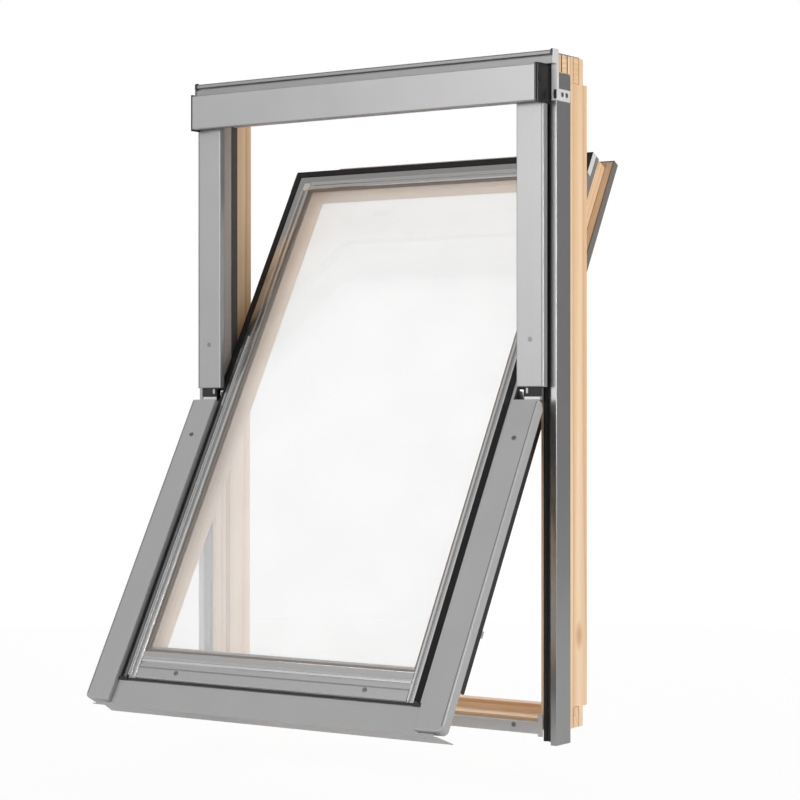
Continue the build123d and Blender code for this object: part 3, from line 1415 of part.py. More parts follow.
with BuildPart() as barrel_bolt_pin:
    rod(sash_side(PIN_X[0]), (BARREL_N, BARREL_S), BARREL_RADIUS, PIN_X[1] - PIN_X[0])
    chamfer(barrel_bolt_pin.edges().sort_by(Axis.X)[-1], BARREL_RADIUS / 4)
    rod(sash_room(BARREL_N), (KNOB_X, -BARREL_S), BARREL_RADIUS - 1.3, KNOB_HEIGHT)
    rod(
        sash_room(BARREL_N + HOUSING_REACH + 1.5),
        (KNOB_X, -BARREL_S),
        KNOB_RADIUS,
        KNOB_HEIGHT - HOUSING_REACH,
    )
finish(barrel_bolt_pin, "barrel_bolt_pin")

# Screws that turn with the sash
with BuildPart() as sash_screws:
    screws(sash_face(COVER_OUT), [(x, -LOWER_SCREW_DROP) for x in (-COVER_SCREW_X, COVER_SCREW_X)])
    screws(sash_face(PANE_OUT + BEAD_CREST), BEAD_SCREWS, BEAD_CREST - BEAD_LIFT)
    screws(sash_side(SASH_PLATE_X[1]), SASH_PLATE_SCREWS)
    left_plate = Plane(
        origin=(-SASH_PLATE_X[1], PIVOT_Y, PIVOT_Z),
        x_dir=(0, cos(TURN), -sin(TURN)),
        z_dir=(-1, 0, 0),
    )
    screws(left_plate, [(n, -s) for n, s in SASH_PLATE_SCREWS])
    screws(sash_room(SASH_REAR + ROSE_HEIGHT), ROSE_SCREWS, SCREW_LENGTH)
    screws(sash_room(SASH_REAR + HOUSING_BASE), HOUSING_SCREWS)
finish(sash_screws, "sash_screws")
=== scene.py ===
"""Finishes, fine fittings, light and camera for an open centre-pivot roof window of pine."""

import math

import bpy
import numpy as np
from mathutils import Matrix, Vector


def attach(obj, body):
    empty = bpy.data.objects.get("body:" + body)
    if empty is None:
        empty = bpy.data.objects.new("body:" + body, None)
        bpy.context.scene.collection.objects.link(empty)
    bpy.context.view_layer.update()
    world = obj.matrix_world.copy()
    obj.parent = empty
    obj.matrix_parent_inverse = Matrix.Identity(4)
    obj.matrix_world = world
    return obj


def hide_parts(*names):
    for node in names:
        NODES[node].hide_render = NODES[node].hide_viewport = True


bl_info = {
    "name": "Roof Window Finish",
    "version": (1, 0, 0),
    "blender": (4, 5, 0),
    "location": "View3D > Sidebar > Roof Window",
    "description": "Dresses a pine roof window with its finishes, screws, seals and studio",
    "category": "Object",
}

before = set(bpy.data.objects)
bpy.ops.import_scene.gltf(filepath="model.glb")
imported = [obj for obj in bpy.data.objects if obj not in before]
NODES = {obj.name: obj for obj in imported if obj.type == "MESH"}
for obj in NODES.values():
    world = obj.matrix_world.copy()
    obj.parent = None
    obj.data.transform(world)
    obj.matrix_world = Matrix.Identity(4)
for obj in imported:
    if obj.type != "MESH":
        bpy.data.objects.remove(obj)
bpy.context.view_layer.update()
MM = 0.001
SIDES = {"left": -1, "right": 1}

# The sash stands open by the angle between its pane's face and the frame's face
SASH_OPENING = math.radians(29.5)
PIVOT = (0, -22 * MM, 572.5 * MM)

# The sash's own axes (across, up along it and out of it, from the pivot) in the shared frame
SASH_AXES = Matrix.Translation(PIVOT) @ Matrix.Rotation(math.pi / 2 - SASH_OPENING, 4, "X")
ROOM_AXES = Matrix.Identity(4)

# The middle of a noise pattern, where nearly all of its values lie
MIDDLE = {"From Min": 0.3, "From Max": 0.7}

# A Wave Texture of scale 1 repeats at about this many metres
WAVE_PERIOD = 0.314


def linear(code):
    """An sRGB hex colour as a linear RGBA value."""
    channels = [int(code[i : i + 2], 16) / 255 for i in (0, 2, 4)]
    straight = [c / 12.92 if c <= 0.04045 else ((c + 0.055) / 1.055) ** 2.4 for c in channels]
    return (*straight, 1)


WHITE = linear("FFFFFF")


def toned(colour, share):
    """A linear colour made darker or lighter by a share."""
    return (*(min(1.0, c * share) for c in colour[:3]), 1)


def node(tree, kind, inputs=None, stops=(), **settings):
    """Add a node, apply its settings, set or link its inputs and place a ramp's stops."""
    made = tree.nodes.new(kind)
    for name, value in settings.items():
        setattr(made, name, value)
    for key, value in (inputs or {}).items():
        if isinstance(value, bpy.types.NodeSocket):
            tree.links.new(value, made.inputs[key])
        else:
            made.inputs[key].default_value = value
    if stops:
        elements = made.color_ramp.elements
        while len(elements) < len(stops):
            elements.new(0.5)
        for element, (position, colour) in zip(elements, stops):
            element.position = position
            element.color = colour
    return made


def surface(name, roughness, metallic=0.0):
    """A new material with one Principled shader, and its Object coordinates."""
    material = bpy.data.materials.new(name)
    material.use_nodes = True
    tree = material.node_tree
    shader = tree.nodes["Principled BSDF"]
    shader.inputs["Roughness"].default_value = roughness
    shader.inputs["Metallic"].default_value = metallic
    place = node(tree, "ShaderNodeTexCoord").outputs["Object"]
    return material, tree, shader, place


def lacquered_pine(name, ring_width, turn, shift):
    """Planed pine under satin lacquer: straw-coloured, with honey late-wood lines along it."""
    material, tree, shader, place = surface(name, 0.42)
    early, middle, late = linear("F3DABA"), linear("ECC99F"), linear("D29E69")
    honey, knot_brown = linear("E3B98B"), linear("BE8550")
    along = node(
        tree,
        "ShaderNodeMapping",
        {"Vector": place, "Rotation": turn, "Location": shift},
        vector_type="TEXTURE",
    ).outputs["Vector"]
    # Growth rings, twenty times as long along the grain as they are across it
    drawn_out = node(tree, "ShaderNodeMapping", {"Vector": along, "Scale": (1, 1, 0.05)})
    rings = node(
        tree,
        "ShaderNodeTexWave",
        {
            "Vector": drawn_out.outputs["Vector"],
            "Scale": WAVE_PERIOD / ring_width,
            "Distortion": 5.0,
            "Detail": 2.0,
            "Detail Scale": 0.35,
            "Detail Roughness": 0.4,
        },
        wave_type="RINGS",
        rings_direction="Z",
        wave_profile="SAW",
    )
    wood = node(
        tree,
        "ShaderNodeValToRGB",
        {"Fac": rings.outputs["Fac"]},
        stops=[(0.0, early), (0.45, early), (0.8, middle), (0.95, late), (1.0, early)],
    )
    # Honey-coloured bands about 28 mm wide
    band_grain = node(tree, "ShaderNodeMapping", {"Vector": along, "Scale": (1, 1, 1 / 30)})
    bands = node(
        tree,
        "ShaderNodeTexNoise",
        {"Vector": band_grain.outputs["Vector"], "Scale": 1 / (28 * MM), "Detail": 1.0},
    )
    band_share = node(
        tree,
        "ShaderNodeMapRange",
        {"Value": bands.outputs["Fac"], **MIDDLE, "To Min": 0.0, "To Max": 0.8},
    )
    banded = node(
        tree,
        "ShaderNodeMix",
        {"Factor": band_share.outputs["Result"], "A": wood.outputs["Color"], "B": honey},
        data_type="RGBA",
    )
    # Fibres about a millimetre wide, coarser than real ones so that close views show them
    fibre_grain = node(tree, "ShaderNodeMapping", {"Vector": along, "Scale": (1, 1, 1 / 60)})
    fibres = node(
        tree,
        "ShaderNodeTexNoise",
        {"Vector": fibre_grain.outputs["Vector"], "Scale": 1 / (0.9 * MM), "Detail": 2.0},
    ).outputs["Fac"]
    fibre_share = node(
        tree, "ShaderNodeMapRange", {"Value": fibres, **MIDDLE, "To Min": 0.0, "To Max": 0.22}
    )
    fibrous = node(
        tree,
        "ShaderNodeMix",
        {"Factor": fibre_share.outputs["Result"], "A": banded.outputs["Result"], "B": late},
        data_type="RGBA",
    )
    # Brown oval knots, one in about every 14 cm of timber and drawn out along the grain
    knot_cell, knot_radius = 140 * MM, 9 * MM
    edge = knot_radius / knot_cell
    squeezed = node(tree, "ShaderNodeMapping", {"Vector": along, "Scale": (1, 1, 0.5)})
    reach = node(
        tree,
        "ShaderNodeTexVoronoi",
        {"Vector": squeezed.outputs["Vector"], "Scale": 1 / knot_cell},
    )
    knot = node(
        tree,
        "ShaderNodeMapRange",
        {
            "Value": reach.outputs["Distance"],
            "From Min": edge,
            "From Max": edge * 2.2,
            "To Min": 0.85,
            "To Max": 0.0,
        },
        interpolation_type="SMOOTHSTEP",
    )
    knotty = node(
        tree,
        "ShaderNodeMix",
        {"Factor": knot.outputs["Result"], "A": fibrous.outputs["Result"], "B": knot_brown},
        data_type="RGBA",
    )
    satin = node(
        tree, "ShaderNodeMapRange", {"Value": fibres, **MIDDLE, "To Min": 0.36, "To Max": 0.5}
    )
    relief = node(
        tree, "ShaderNodeBump", {"Height": fibres, "Distance": 0.06 * MM, "Strength": 0.5}
    )
    tree.links.new(knotty.outputs["Result"], shader.inputs["Base Color"])
    tree.links.new(satin.outputs["Result"], shader.inputs["Roughness"])
    tree.links.new(relief.outputs["Normal"], shader.inputs["Normal"])
    shader.inputs["Coat Weight"].default_value = 0.25
    shader.inputs["Coat Roughness"].default_value = 0.3
    return material


# Painted shade on the wood beside each hinge: its reach from the pivot's axis, and the depth at
# which it starts
SHADE_REACH = (60 * MM, 62 * MM)
SHADE_DEPTH = (28 * MM, 30 * MM)


def paint_hinge_shade(material, code):
    """Painted shade: a dark colour mixed into the pine beside the hinge, outside only, where the
    gap between the covers lies in shade.
    """
    tree = material.node_tree
    shader = tree.nodes["Principled BSDF"]
    wood = shader.inputs["Base Color"].links[0].from_socket
    outward = (0, -math.cos(SASH_OPENING), math.sin(SASH_OPENING))
    place = node(tree, "ShaderNodeTexCoord").outputs["Object"]
    arm = node(
        tree, "ShaderNodeVectorMath", {0: place, 1: PIVOT}, operation="SUBTRACT"
    ).outputs["Vector"]
    flat = node(tree, "ShaderNodeMapping", {"Vector": arm, "Scale": (0, 1, 1)})
    reach = node(
        tree, "ShaderNodeVectorMath", {0: flat.outputs["Vector"]}, operation="LENGTH"
    )
    near = node(
        tree,
        "ShaderNodeMapRange",
        {
            "Value": reach.outputs["Value"],
            "From Min": SHADE_REACH[0],
            "From Max": SHADE_REACH[1],
            "To Min": 1.0,
            "To Max": 0.0,
        },
    )
    depth = node(
        tree, "ShaderNodeVectorMath", {0: arm, 1: outward}, operation="DOT_PRODUCT"
    )
    outside = node(
        tree,
        "ShaderNodeMapRange",
        {
            "Value": depth.outputs["Value"],
            "From Min": SHADE_DEPTH[0],
            "From Max": SHADE_DEPTH[1],
            "To Min": 0.0,
            "To Max": 1.0,
        },
    )
    # Where the painted shade lies: near the hinge's axis and outside
    shade_mask = node(
        tree,
        "ShaderNodeMath",
        {0: near.outputs["Result"], 1: outside.outputs["Result"]},
        operation="MULTIPLY",
    )
    shade_painted = node(
        tree,
        "ShaderNodeMix",
        {"Factor": shade_mask.outputs["Value"], "A": wood, "B": linear(code)},
        data_type="RGBA",
    )
    tree.links.new(shade_painted.outputs["Result"], shader.inputs["Base Color"])
    return material


def coated_sheet(name, code, roughness, metallic):
    """Coil-coated aluminium sheet: even and slightly pearly, in faint clouds about 90 mm wide."""
    material, tree, shader, place = surface(name, roughness, metallic)
    base = linear(code)
    cloud = node(
        tree, "ShaderNodeTexNoise", {"Vector": place, "Scale": 1 / (90 * MM), "Detail": 1.0}
    )
    colour = node(
        tree,
        "ShaderNodeValToRGB",
        {"Fac": cloud.outputs["Fac"]},
        stops=[(0.0, toned(base, 0.9)), (1.0, base)],
    )
    tree.links.new(colour.outputs["Color"], shader.inputs["Base Color"])
    return material


def drawn_aluminium(name, code, roughness, stretch):
    """Extruded and anodised aluminium: satin, with faint paler lines along the profile."""
    material, tree, shader, place = surface(name, roughness, 1.0)
    base = linear(code)
    # Draw lines about 0.7 mm apart, which only close views show
    profile = node(
        tree, "ShaderNodeMapping", {"Vector": place, "Scale": tuple(1 / s for s in stretch)}
    )
    lines = node(
        tree,
        "ShaderNodeTexNoise",
        {"Vector": profile.outputs["Vector"], "Scale": 1 / (0.7 * MM), "Detail": 2.0},
    )
    colour = node(
        tree,
        "ShaderNodeValToRGB",
        {"Fac": lines.outputs["Fac"]},
        stops=[(0.2, base), (0.8, toned(base, 1.08))],
    )
    tree.links.new(colour.outputs["Color"], shader.inputs["Base Color"])
    return material


def extruded_rubber(name, code):
    """EPDM seal: dull black with a dusty bloom that lifts its high spots a little."""
    material, tree, shader, place = surface(name, 0.62)
    base = linear(code)
    dusty = (*(c + 0.008 for c in base[:3]), 1)
    bloom = node(
        tree, "ShaderNodeTexNoise", {"Vector": place, "Scale": 1 / (9 * MM), "Detail": 3.0}
    ).outputs["Fac"]
    colour = node(
        tree, "ShaderNodeValToRGB", {"Fac": bloom}, stops=[(0.35, base), (0.75, dusty)]
    )
    dullness = node(
        tree, "ShaderNodeMapRange", {"Value": bloom, **MIDDLE, "To Min": 0.55, "To Max": 0.7}
    )
    grit = node(
        tree, "ShaderNodeTexNoise", {"Vector": place, "Scale": 1 / (0.6 * MM), "Detail": 1.0}
    )
    relief = node(
        tree,
        "ShaderNodeBump",
        {"Height": grit.outputs["Fac"], "Distance": 0.02 * MM, "Strength": 0.5},
    )
    tree.links.new(colour.outputs["Color"], shader.inputs["Base Color"])
    tree.links.new(dullness.outputs["Result"], shader.inputs["Roughness"])
    tree.links.new(relief.outputs["Normal"], shader.inputs["Normal"])
    return material


def moulded_plastic(name, code, roughness):
    """Injection-moulded plastic with a fine spark-eroded grain."""
    material, tree, shader, place = surface(name, roughness)
    base = linear(code)
    grain = node(
        tree, "ShaderNodeTexNoise", {"Vector": place, "Scale": 1 / (0.8 * MM), "Detail": 2.0}
    ).outputs["Fac"]
    colour = node(
        tree, "ShaderNodeValToRGB", {"Fac": grain}, stops=[(0.3, toned(base, 0.93)), (0.7, base)]
    )
    dullness = node(
        tree,
        "ShaderNodeMapRange",
        {"Value": grain, **MIDDLE, "To Min": roughness - 0.05, "To Max": roughness + 0.05},
    )
    relief = node(
        tree, "ShaderNodeBump", {"Height": grain, "Distance": 0.03 * MM, "Strength": 0.4}
    )
    tree.links.new(colour.outputs["Color"], shader.inputs["Base Color"])
    tree.links.new(dullness.outputs["Result"], shader.inputs["Roughness"])
    tree.links.new(relief.outputs["Normal"], shader.inputs["Normal"])
    return material


def float_glass(name):
    """Float glass under an overcast sky: what lies behind it shows paler, through a white veil that
    is a painted reflection of the sky.
    """
    material, tree, shader, place = surface(name, 0.0)
    veil_dust = node(
        tree, "ShaderNodeTexNoise", {"Vector": place, "Scale": 1 / (120 * MM), "Detail": 2.0}
    )
    colour = node(
        tree,
        "ShaderNodeValToRGB",
        {"Fac": veil_dust.outputs["Fac"]},
        stops=[(0.2, linear("F7F7F7")), (0.8, linear("FAFAFA"))],
    )
    tree.links.new(colour.outputs["Color"], shader.inputs["Base Color"])
    # Painted reflection: the share of each pane that is not see-through is diffuse near-white, lit
    # like a wall, and stands in for the sky's reflection as a white veil
    shader.inputs["Transmission Weight"].default_value = 0.86
    shader.inputs["IOR"].default_value = 1.45
    shader.inputs["Specular IOR Level"].default_value = 0.3
    # Lamps shine through the panes, so that the pine behind them is lit
    path = node(tree, "ShaderNodeLightPath")
    lit = node(tree, "ShaderNodeBsdfTransparent")
    mixed = node(
        tree,
        "ShaderNodeMixShader",
        {0: path.outputs["Is Shadow Ray"], 1: shader.outputs["BSDF"], 2: lit.outputs["BSDF"]},
    )
    tree.links.new(mixed.outputs["Shader"], tree.nodes["Material Output"].inputs["Surface"])
    return material


def plated_steel(name, code, roughness):
    """Zinc-plated steel: cool grey with a soft cloudy spangle."""
    material, tree, shader, place = surface(name, roughness, 1.0)
    base = linear(code)
    spangle = node(
        tree, "ShaderNodeTexNoise", {"Vector": place, "Scale": 1 / (4 * MM), "Detail": 2.0}
    ).outputs["Fac"]
    colour = node(
        tree, "ShaderNodeValToRGB", {"Fac": spangle}, stops=[(0.3, toned(base, 0.8)), (0.7, base)]
    )
    dullness = node(
        tree,
        "ShaderNodeMapRange",
        {"Value": spangle, **MIDDLE, "To Min": roughness - 0.08, "To Max": roughness + 0.08},
    )
    relief = node(
        tree, "ShaderNodeBump", {"Height": spangle, "Distance": 0.01 * MM, "Strength": 0.3}
    )
    tree.links.new(colour.outputs["Color"], shader.inputs["Base Color"])
    tree.links.new(dullness.outputs["Result"], shader.inputs["Roughness"])
    tree.links.new(relief.outputs["Normal"], shader.inputs["Normal"])
    return material


def dress(names, material):
    """Give CAD pieces a material."""
    for name in names:
        mesh = NODES[name].data
        mesh.materials.clear()
        mesh.materials.append(material)


def pair(name):
    """A piece's left and right names."""
    return [f"{name}_{side}" for side in SIDES]


class RoofWindowFinish(bpy.types.PropertyGroup):
    """Colours and sizes of the finishes that a user would change."""

    cover_colour: bpy.props.StringProperty(
        name="Upper Covers", description="sRGB hex of the upper covers and hood", default="A3A3A3"
    )
    # Painted light: the sash's covers are the same coat as the upper covers, given a paler colour
    # for the light they catch
    lower_cover_colour: bpy.props.StringProperty(
        name="Lower Covers", description="sRGB hex of the sash's covers", default="B0B0B0"
    )
    cladding_colour: bpy.props.StringProperty(
        name="Side Cladding", description="sRGB hex of the frame's side cladding", default="A6A6A6"
    )
    sill_colour: bpy.props.StringProperty(
        name="Sill", description="sRGB hex of the cladding under the sash's foot", default="CCCCCC"
    )
    bead_colour: bpy.props.StringProperty(
        name="Beads", description="sRGB hex of the anodised glazing beads", default="CDCDCD"
    )
    stop_colour: bpy.props.StringProperty(
        name="Stops", description="sRGB hex of the painted stops", default="BDB2AC"
    )
    rubber_colour: bpy.props.StringProperty(
        name="Seals", description="sRGB hex of the black seals", default="161617"
    )
    ring_width: bpy.props.FloatProperty(
        name="Growth Rings",
        description="Width of a growth ring in the pine, wider than a real one so that it shows",
        default=9 * MM,
        unit="LENGTH",
    )


class RoofWindowStudio(bpy.types.PropertyGroup):
    """The studio round the window."""

    camera_place: bpy.props.FloatVectorProperty(
        name="Camera",
        description="Where the camera stands",
        default=(2.378, -3.408, 0.560),
        subtype="XYZ",
        unit="LENGTH",
    )
    camera_turn: bpy.props.FloatProperty(
        name="Heading",
        description="Camera's turn to the left",
        default=math.radians(34.57),
        subtype="ANGLE",
    )
    lens: bpy.props.FloatProperty(
        name="Lens", description="Focal length in millimetres", default=103.7, unit="CAMERA"
    )
    floor_colour: bpy.props.StringProperty(
        name="Floor Paint", description="sRGB hex of the floor", default="EFEFEF"
    )
    floor_level: bpy.props.FloatProperty(
        name="Floor",
        description="Height of the floor, just under the sash's foot when it is shut",
        default=-82 * MM,
        unit="LENGTH",
    )
    world_level: bpy.props.FloatProperty(
        name="Sky", description="Strength of the soft light all round", default=0.34
    )


class ROOFWINDOW_OT_pine(bpy.types.Operator):
    """Finish the pine pieces, with the grain along each"""

    bl_idname = "roofwindow.pine"
    bl_label = "Pine Pieces"

    def execute(self, context):
        ring = context.scene.roof_window_finish.ring_width
        level_turn = (0, math.pi / 2, 0)
        sash_turn = (-SASH_OPENING, 0, 0)
        upright = lacquered_pine("pine_upright", ring, (0, 0, 0), (0.06, 0.09, 0))
        level = lacquered_pine("pine_level", ring, level_turn, (0, 0.10, 0.05))
        leaning = lacquered_pine("pine_leaning", ring, sash_turn, (0.05, 0.12, 0))
        sash_level = lacquered_pine("pine_sash_level", ring, level_turn, (0, 0.05, 0.33))
        dress(pair("frame_stile"), upright)
        dress(["frame_head_rail", "frame_bottom_rail"], level)
        # The sash stiles carry a painted shade round the hinge
        dress(pair("sash_stile"), paint_hinge_shade(leaning, "3A3734"))
        dress(["sash_head_rail", "sash_bottom_rail"], sash_level)
        return {"FINISHED"}


class ROOFWINDOW_OT_metal(bpy.types.Operator):
    """Finish the covers, cladding, beads, straps and steel"""

    bl_idname = "roofwindow.metal"
    bl_label = "Metal Pieces"

    def execute(self, context):
        finish = context.scene.roof_window_finish
        bead = finish.bead_colour
        covers = coated_sheet("coil_coated_cover", finish.cover_colour, 0.28, 0.5)
        cladding = coated_sheet("coil_coated_cladding", finish.cladding_colour, 0.26, 0.9)
        # The upper covers' coat made paler: painted light
        lower = coated_sheet("coil_coated_lower_cover", finish.lower_cover_colour, 0.3, 0.15)
        dress(pair("upper_side_cover") + ["head_cover"], covers)
        dress(pair("lower_side_cover") + ["bottom_cover"], lower)
        dress(["bottom_cladding"], coated_sheet("coil_coated_sill", finish.sill_colour, 0.4, 0.35))
        dress(["head_lip"], coated_sheet("coil_coated_lip", "8C8C8C", 0.4, 0.6))
        dress(pair("side_cladding"), cladding)
        # Draw lines along each bead, about forty times as long as they are wide
        lean = (1, 40 * math.sin(SASH_OPENING), 40 * math.cos(SASH_OPENING))
        dress(pair("glazing_bead"), drawn_aluminium("anodised_bead", bead, 0.2, lean))
        level_bead = drawn_aluminium("anodised_level_bead", bead, 0.2, (40, 1, 1))
        dress(["glazing_bead_top", "glazing_bead_bottom"], level_bead)
        dress(["spacer_bar"], drawn_aluminium("mill_spacer", "B8B9BB", 0.3, (1, 1, 1)))
        dress(pair("corner_tab"), coated_sheet("bright_strap", "DEDEDE", 0.35, 0.15))
        steel = plated_steel("zinc_plated_steel", "B9BBBD", 0.35)
        dress(pair("sash_hinge_plate") + ["striker_plate", "lock_bolt"], steel)
        dress(pair("frame_hinge_plate"), plated_steel("passivated_hinge_steel", "808183", 0.45))
        handle = drawn_aluminium("anodised_handle", "CFCFCF", 0.3, (20, 1, 1))
        dress(["handle_lever", "handle_rose", "barrel_bolt_housing", "barrel_bolt_pin"], handle)
        return {"FINISHED"}


class ROOFWINDOW_OT_soft(bpy.types.Operator):
    """Finish the seals, plastic pieces and painted stops"""

    bl_idname = "roofwindow.soft"
    bl_label = "Seals and Plastic"

    def execute(self, context):
        finish = context.scene.roof_window_finish
        rubber = extruded_rubber("epdm_seal", finish.rubber_colour)
        dress(pair("front_gasket") + pair("lower_rim_seal") + ["rim_gasket"], rubber)
        dress(["upper_frame_gasket"], extruded_rubber("dark_grey_seal", "4E4B48"))
        dress(["glazing_gasket"], extruded_rubber("warm_grey_glazing_seal", "857C72"))
        dress(["upper_rim_seal"], extruded_rubber("grey_tpe_seal", "6E6862"))
        stops = moulded_plastic("painted_stop", finish.stop_colour, 0.5)
        dress(pair("upper_stop") + ["head_stop", "sash_top_bar"], stops)
        black = moulded_plastic("black_polyamide", "101011", 0.3)
        dress(pair("head_end_cap") + pair("head_lip_plug") + ["bolt_bush"], black)
        dress(pair("cover_carrier"), moulded_plastic("grey_polyamide", "3A3A3B", 0.5))
        dress(pair("bead_corner"), moulded_plastic("white_asa", "EDEDEC", 0.4))
        return {"FINISHED"}


class ROOFWINDOW_OT_glass(bpy.types.Operator):
    """Finish the two panes"""

    bl_idname = "roofwindow.glass"
    bl_label = "Panes"

    def execute(self, context):
        dress(["outer_pane", "inner_pane"], float_glass("float_glass"))
        return {"FINISHED"}


def islands(mesh):
    """The vertex places of each loose part of a mesh, its corners joined to the micrometre."""
    merged = {}
    owner = list(range(len(mesh.vertices)))

    def root(i):
        while owner[i] != i:
            owner[i] = owner[owner[i]]
            i = owner[i]
        return i

    for vertex in mesh.vertices:
        key = tuple(round(c, 6) for c in vertex.co)
        if key in merged:
            owner[root(vertex.index)] = root(merged[key])
        else:
            merged[key] = vertex.index
    for edge in mesh.edges:
        a, b = edge.vertices
        owner[root(a)] = root(b)
    groups = {}
    for vertex in mesh.vertices:
        groups.setdefault(root(vertex.index), []).append(tuple(vertex.co))
    return [np.array(points) for points in groups.values()]


# A plain screw's corners lie on its rim or near its middle, by their share of its radius
RIM_SHARE = 0.98
CORE_SHARE = 0.7


def screw_place(points):
    """A screw's matrix (its Z out of the head, its origin under the head), radius and height."""
    centre = points.mean(axis=0)
    values, vectors = np.linalg.eigh(np.cov((points - centre).T))
    # The axis is the direction whose spread differs most from the other two
    odd = 0 if values[1] - values[0] > values[2] - values[1] else 2
    axis = vectors[:, odd]
    heights = (points - centre) @ axis
    radii = np.linalg.norm((points - centre) - np.outer(heights, axis), axis=1)
    radius = radii.max()
    rim = heights[radii > radius * RIM_SHARE]
    if rim.mean() < np.median(heights[radii < radius * CORE_SHARE]):
        axis, rim = -axis, -rim
    under = Vector(centre + axis * rim.min())
    turn = Vector(axis).to_track_quat("Z", "Y").to_matrix().to_4x4()
    return Matrix.Translation(under) @ turn, float(radius), float(rim.max() - rim.min())


# A face looks up when its normal's height is over this
UPWARD = 0.9


def select_upward_faces(mesh):
    """Select only the faces that look up."""
    for face in mesh.polygons:
        face.select = face.normal.z > UPWARD
    for edge in mesh.edges:
        edge.select = False
    for vertex in mesh.vertices:
        vertex.select = False


# A pan head's edge loop, as a share of its height, and its inset and bevel, as shares of its radius
HEAD_SIDES = 32
LOOP_HEIGHT = 0.45
TOP_INSET = 0.22
RIM_BEVEL = 0.16
RIM_SEGMENTS = 3

# The cross recess: length and width as shares of the radius, and depth as a share of the height
RECESS_LENGTH = 1.05
RECESS_WIDTH = 0.2
RECESS_DEPTH = 0.9


def pan_head_screw(radius, height):
    """A pan head with a bevelled rim and a cross recess."""
    bpy.ops.object.select_all(action="DESELECT")
    bpy.ops.mesh.primitive_cylinder_add(
        vertices=HEAD_SIDES, radius=radius, depth=height, location=(0, 0, height / 2)
    )
    head = bpy.context.object
    bpy.ops.object.mode_set(mode="EDIT")
    bpy.ops.mesh.select_all(action="SELECT")
    bpy.ops.mesh.bisect(
        plane_co=(0, 0, height * LOOP_HEIGHT),
        plane_no=(0, 0, 1),
        clear_inner=False,
        clear_outer=False,
    )
    bpy.ops.object.mode_set(mode="OBJECT")
    select_upward_faces(head.data)
    bpy.ops.object.mode_set(mode="EDIT")
    bpy.ops.mesh.inset(thickness=radius * TOP_INSET, depth=0)
    bpy.ops.object.mode_set(mode="OBJECT")
    rim = head.modifiers.new("rim", "BEVEL")
    rim.width, rim.segments, rim.limit_method = radius * RIM_BEVEL, RIM_SEGMENTS, "ANGLE"
    bpy.ops.object.modifier_apply(modifier=rim.name)
    for angle in (0, math.pi / 2):
        bpy.ops.mesh.primitive_cube_add(size=1, location=(0, 0, height))
        slot = bpy.context.object
        slot.scale = (radius * RECESS_LENGTH, radius * RECESS_WIDTH, height * RECESS_DEPTH)
        slot.rotation_euler[2] = angle
        cut = head.modifiers.new("recess", "BOOLEAN")
        cut.operation, cut.object, cut.solver = "DIFFERENCE", slot, "EXACT"
        bpy.context.view_layer.objects.active = head
        bpy.ops.object.modifier_apply(modifier=cut.name)
        bpy.data.objects.remove(slot)
    return head


def adopt(piece, body):
    """Let a piece move with a body."""
    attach(piece, body)


def join(pieces, name):
    """Join pieces into one object at the origin."""
    bpy.ops.object.select_all(action="DESELECT")
    for piece in pieces:
        piece.select_set(True)
    bpy.context.view_layer.objects.active = pieces[0]
    if len(pieces) > 1:
        bpy.ops.object.join()
    joined = bpy.context.object
    bpy.ops.object.transform_apply(location=True, rotation=True, scale=True)
    joined.name = name
    return joined


def finished(pieces, name, material, body):
    """Join pieces into one, finish it and let it move with its body."""
    joined = join(pieces, name)
    joined.data.materials.clear()
    joined.data.materials.append(material)
    adopt(joined, body)


EDGE_SEGMENTS = 2


def bar(low, high, rounding, axes=ROOM_AXES):
    """A straight bar between two corners, its edges rounded, in millimetres in the given axes."""
    bpy.ops.object.select_all(action="DESELECT")
    bpy.ops.mesh.primitive_cube_add(size=1)
    piece = bpy.context.object
    low, high = Vector(low) * MM, Vector(high) * MM
    piece.data.transform(Matrix.Translation((low + high) / 2) @ Matrix.Diagonal((*(high - low), 1)))
    rim = piece.modifiers.new("rim", "BEVEL")
    rim.width, rim.segments = rounding * MM, EDGE_SEGMENTS
    bpy.ops.object.modifier_apply(modifier=rim.name)
    piece.data.transform(axes)
    return piece


def mirrored(side, low, high, rounding):
    """A bar on the right as it is given, or its mirror image on the left."""
    if side > 0:
        return low, high, rounding
    return (-high[0], *low[1:]), (-low[0], *high[1:]), rounding


class ROOFWINDOW_OT_screws(bpy.types.Operator):
    """Put a cross-recessed pan head in place of each plain screw"""

    bl_idname = "roofwindow.screws"
    bl_label = "Screws"

    def execute(self, context):
        steel = plated_steel("screw_steel", "8E8E8E", 0.35)
        for cad_name, body in (("frame_screws", "frame"), ("sash_screws", "sash")):
            heads = []
            for points in islands(NODES[cad_name].data):
                place, radius, height = screw_place(points)
                screw = pan_head_screw(radius, height)
                screw.data.transform(place)
                heads.append(screw)
            joined = join(heads, cad_name.replace("screws", "pan_heads"))
            joined.data.materials.append(steel)
            for face in joined.data.polygons:
                face.use_smooth = False
            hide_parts(cad_name)
            adopt(joined, body)
        return {"FINISHED"}


# Finger joints of the frame's corners, in millimetres: the wood's side, the depths of the glue
# lines in it, and how high they run at the head and the foot, where the cladding's flange lets them
STILE_FACE = 389.0
GLUE_LINES = (-38.5, -19.5, -0.5, 18.5)
FLANGE_REAR = -9.5
CLEAR_OF_FLANGE = 1115.0
HEAD_JOINT = (1101.0, 1144.6)
FOOT_JOINT = (0.4, 35.0)

# A glue line is set into the wood and stands a hair proud of it
GLUE_SUNK = 0.5
GLUE_PROUD = 0.06
GLUE_HALF_WIDTH = 0.8
GLUE_ROUNDING = 0.05


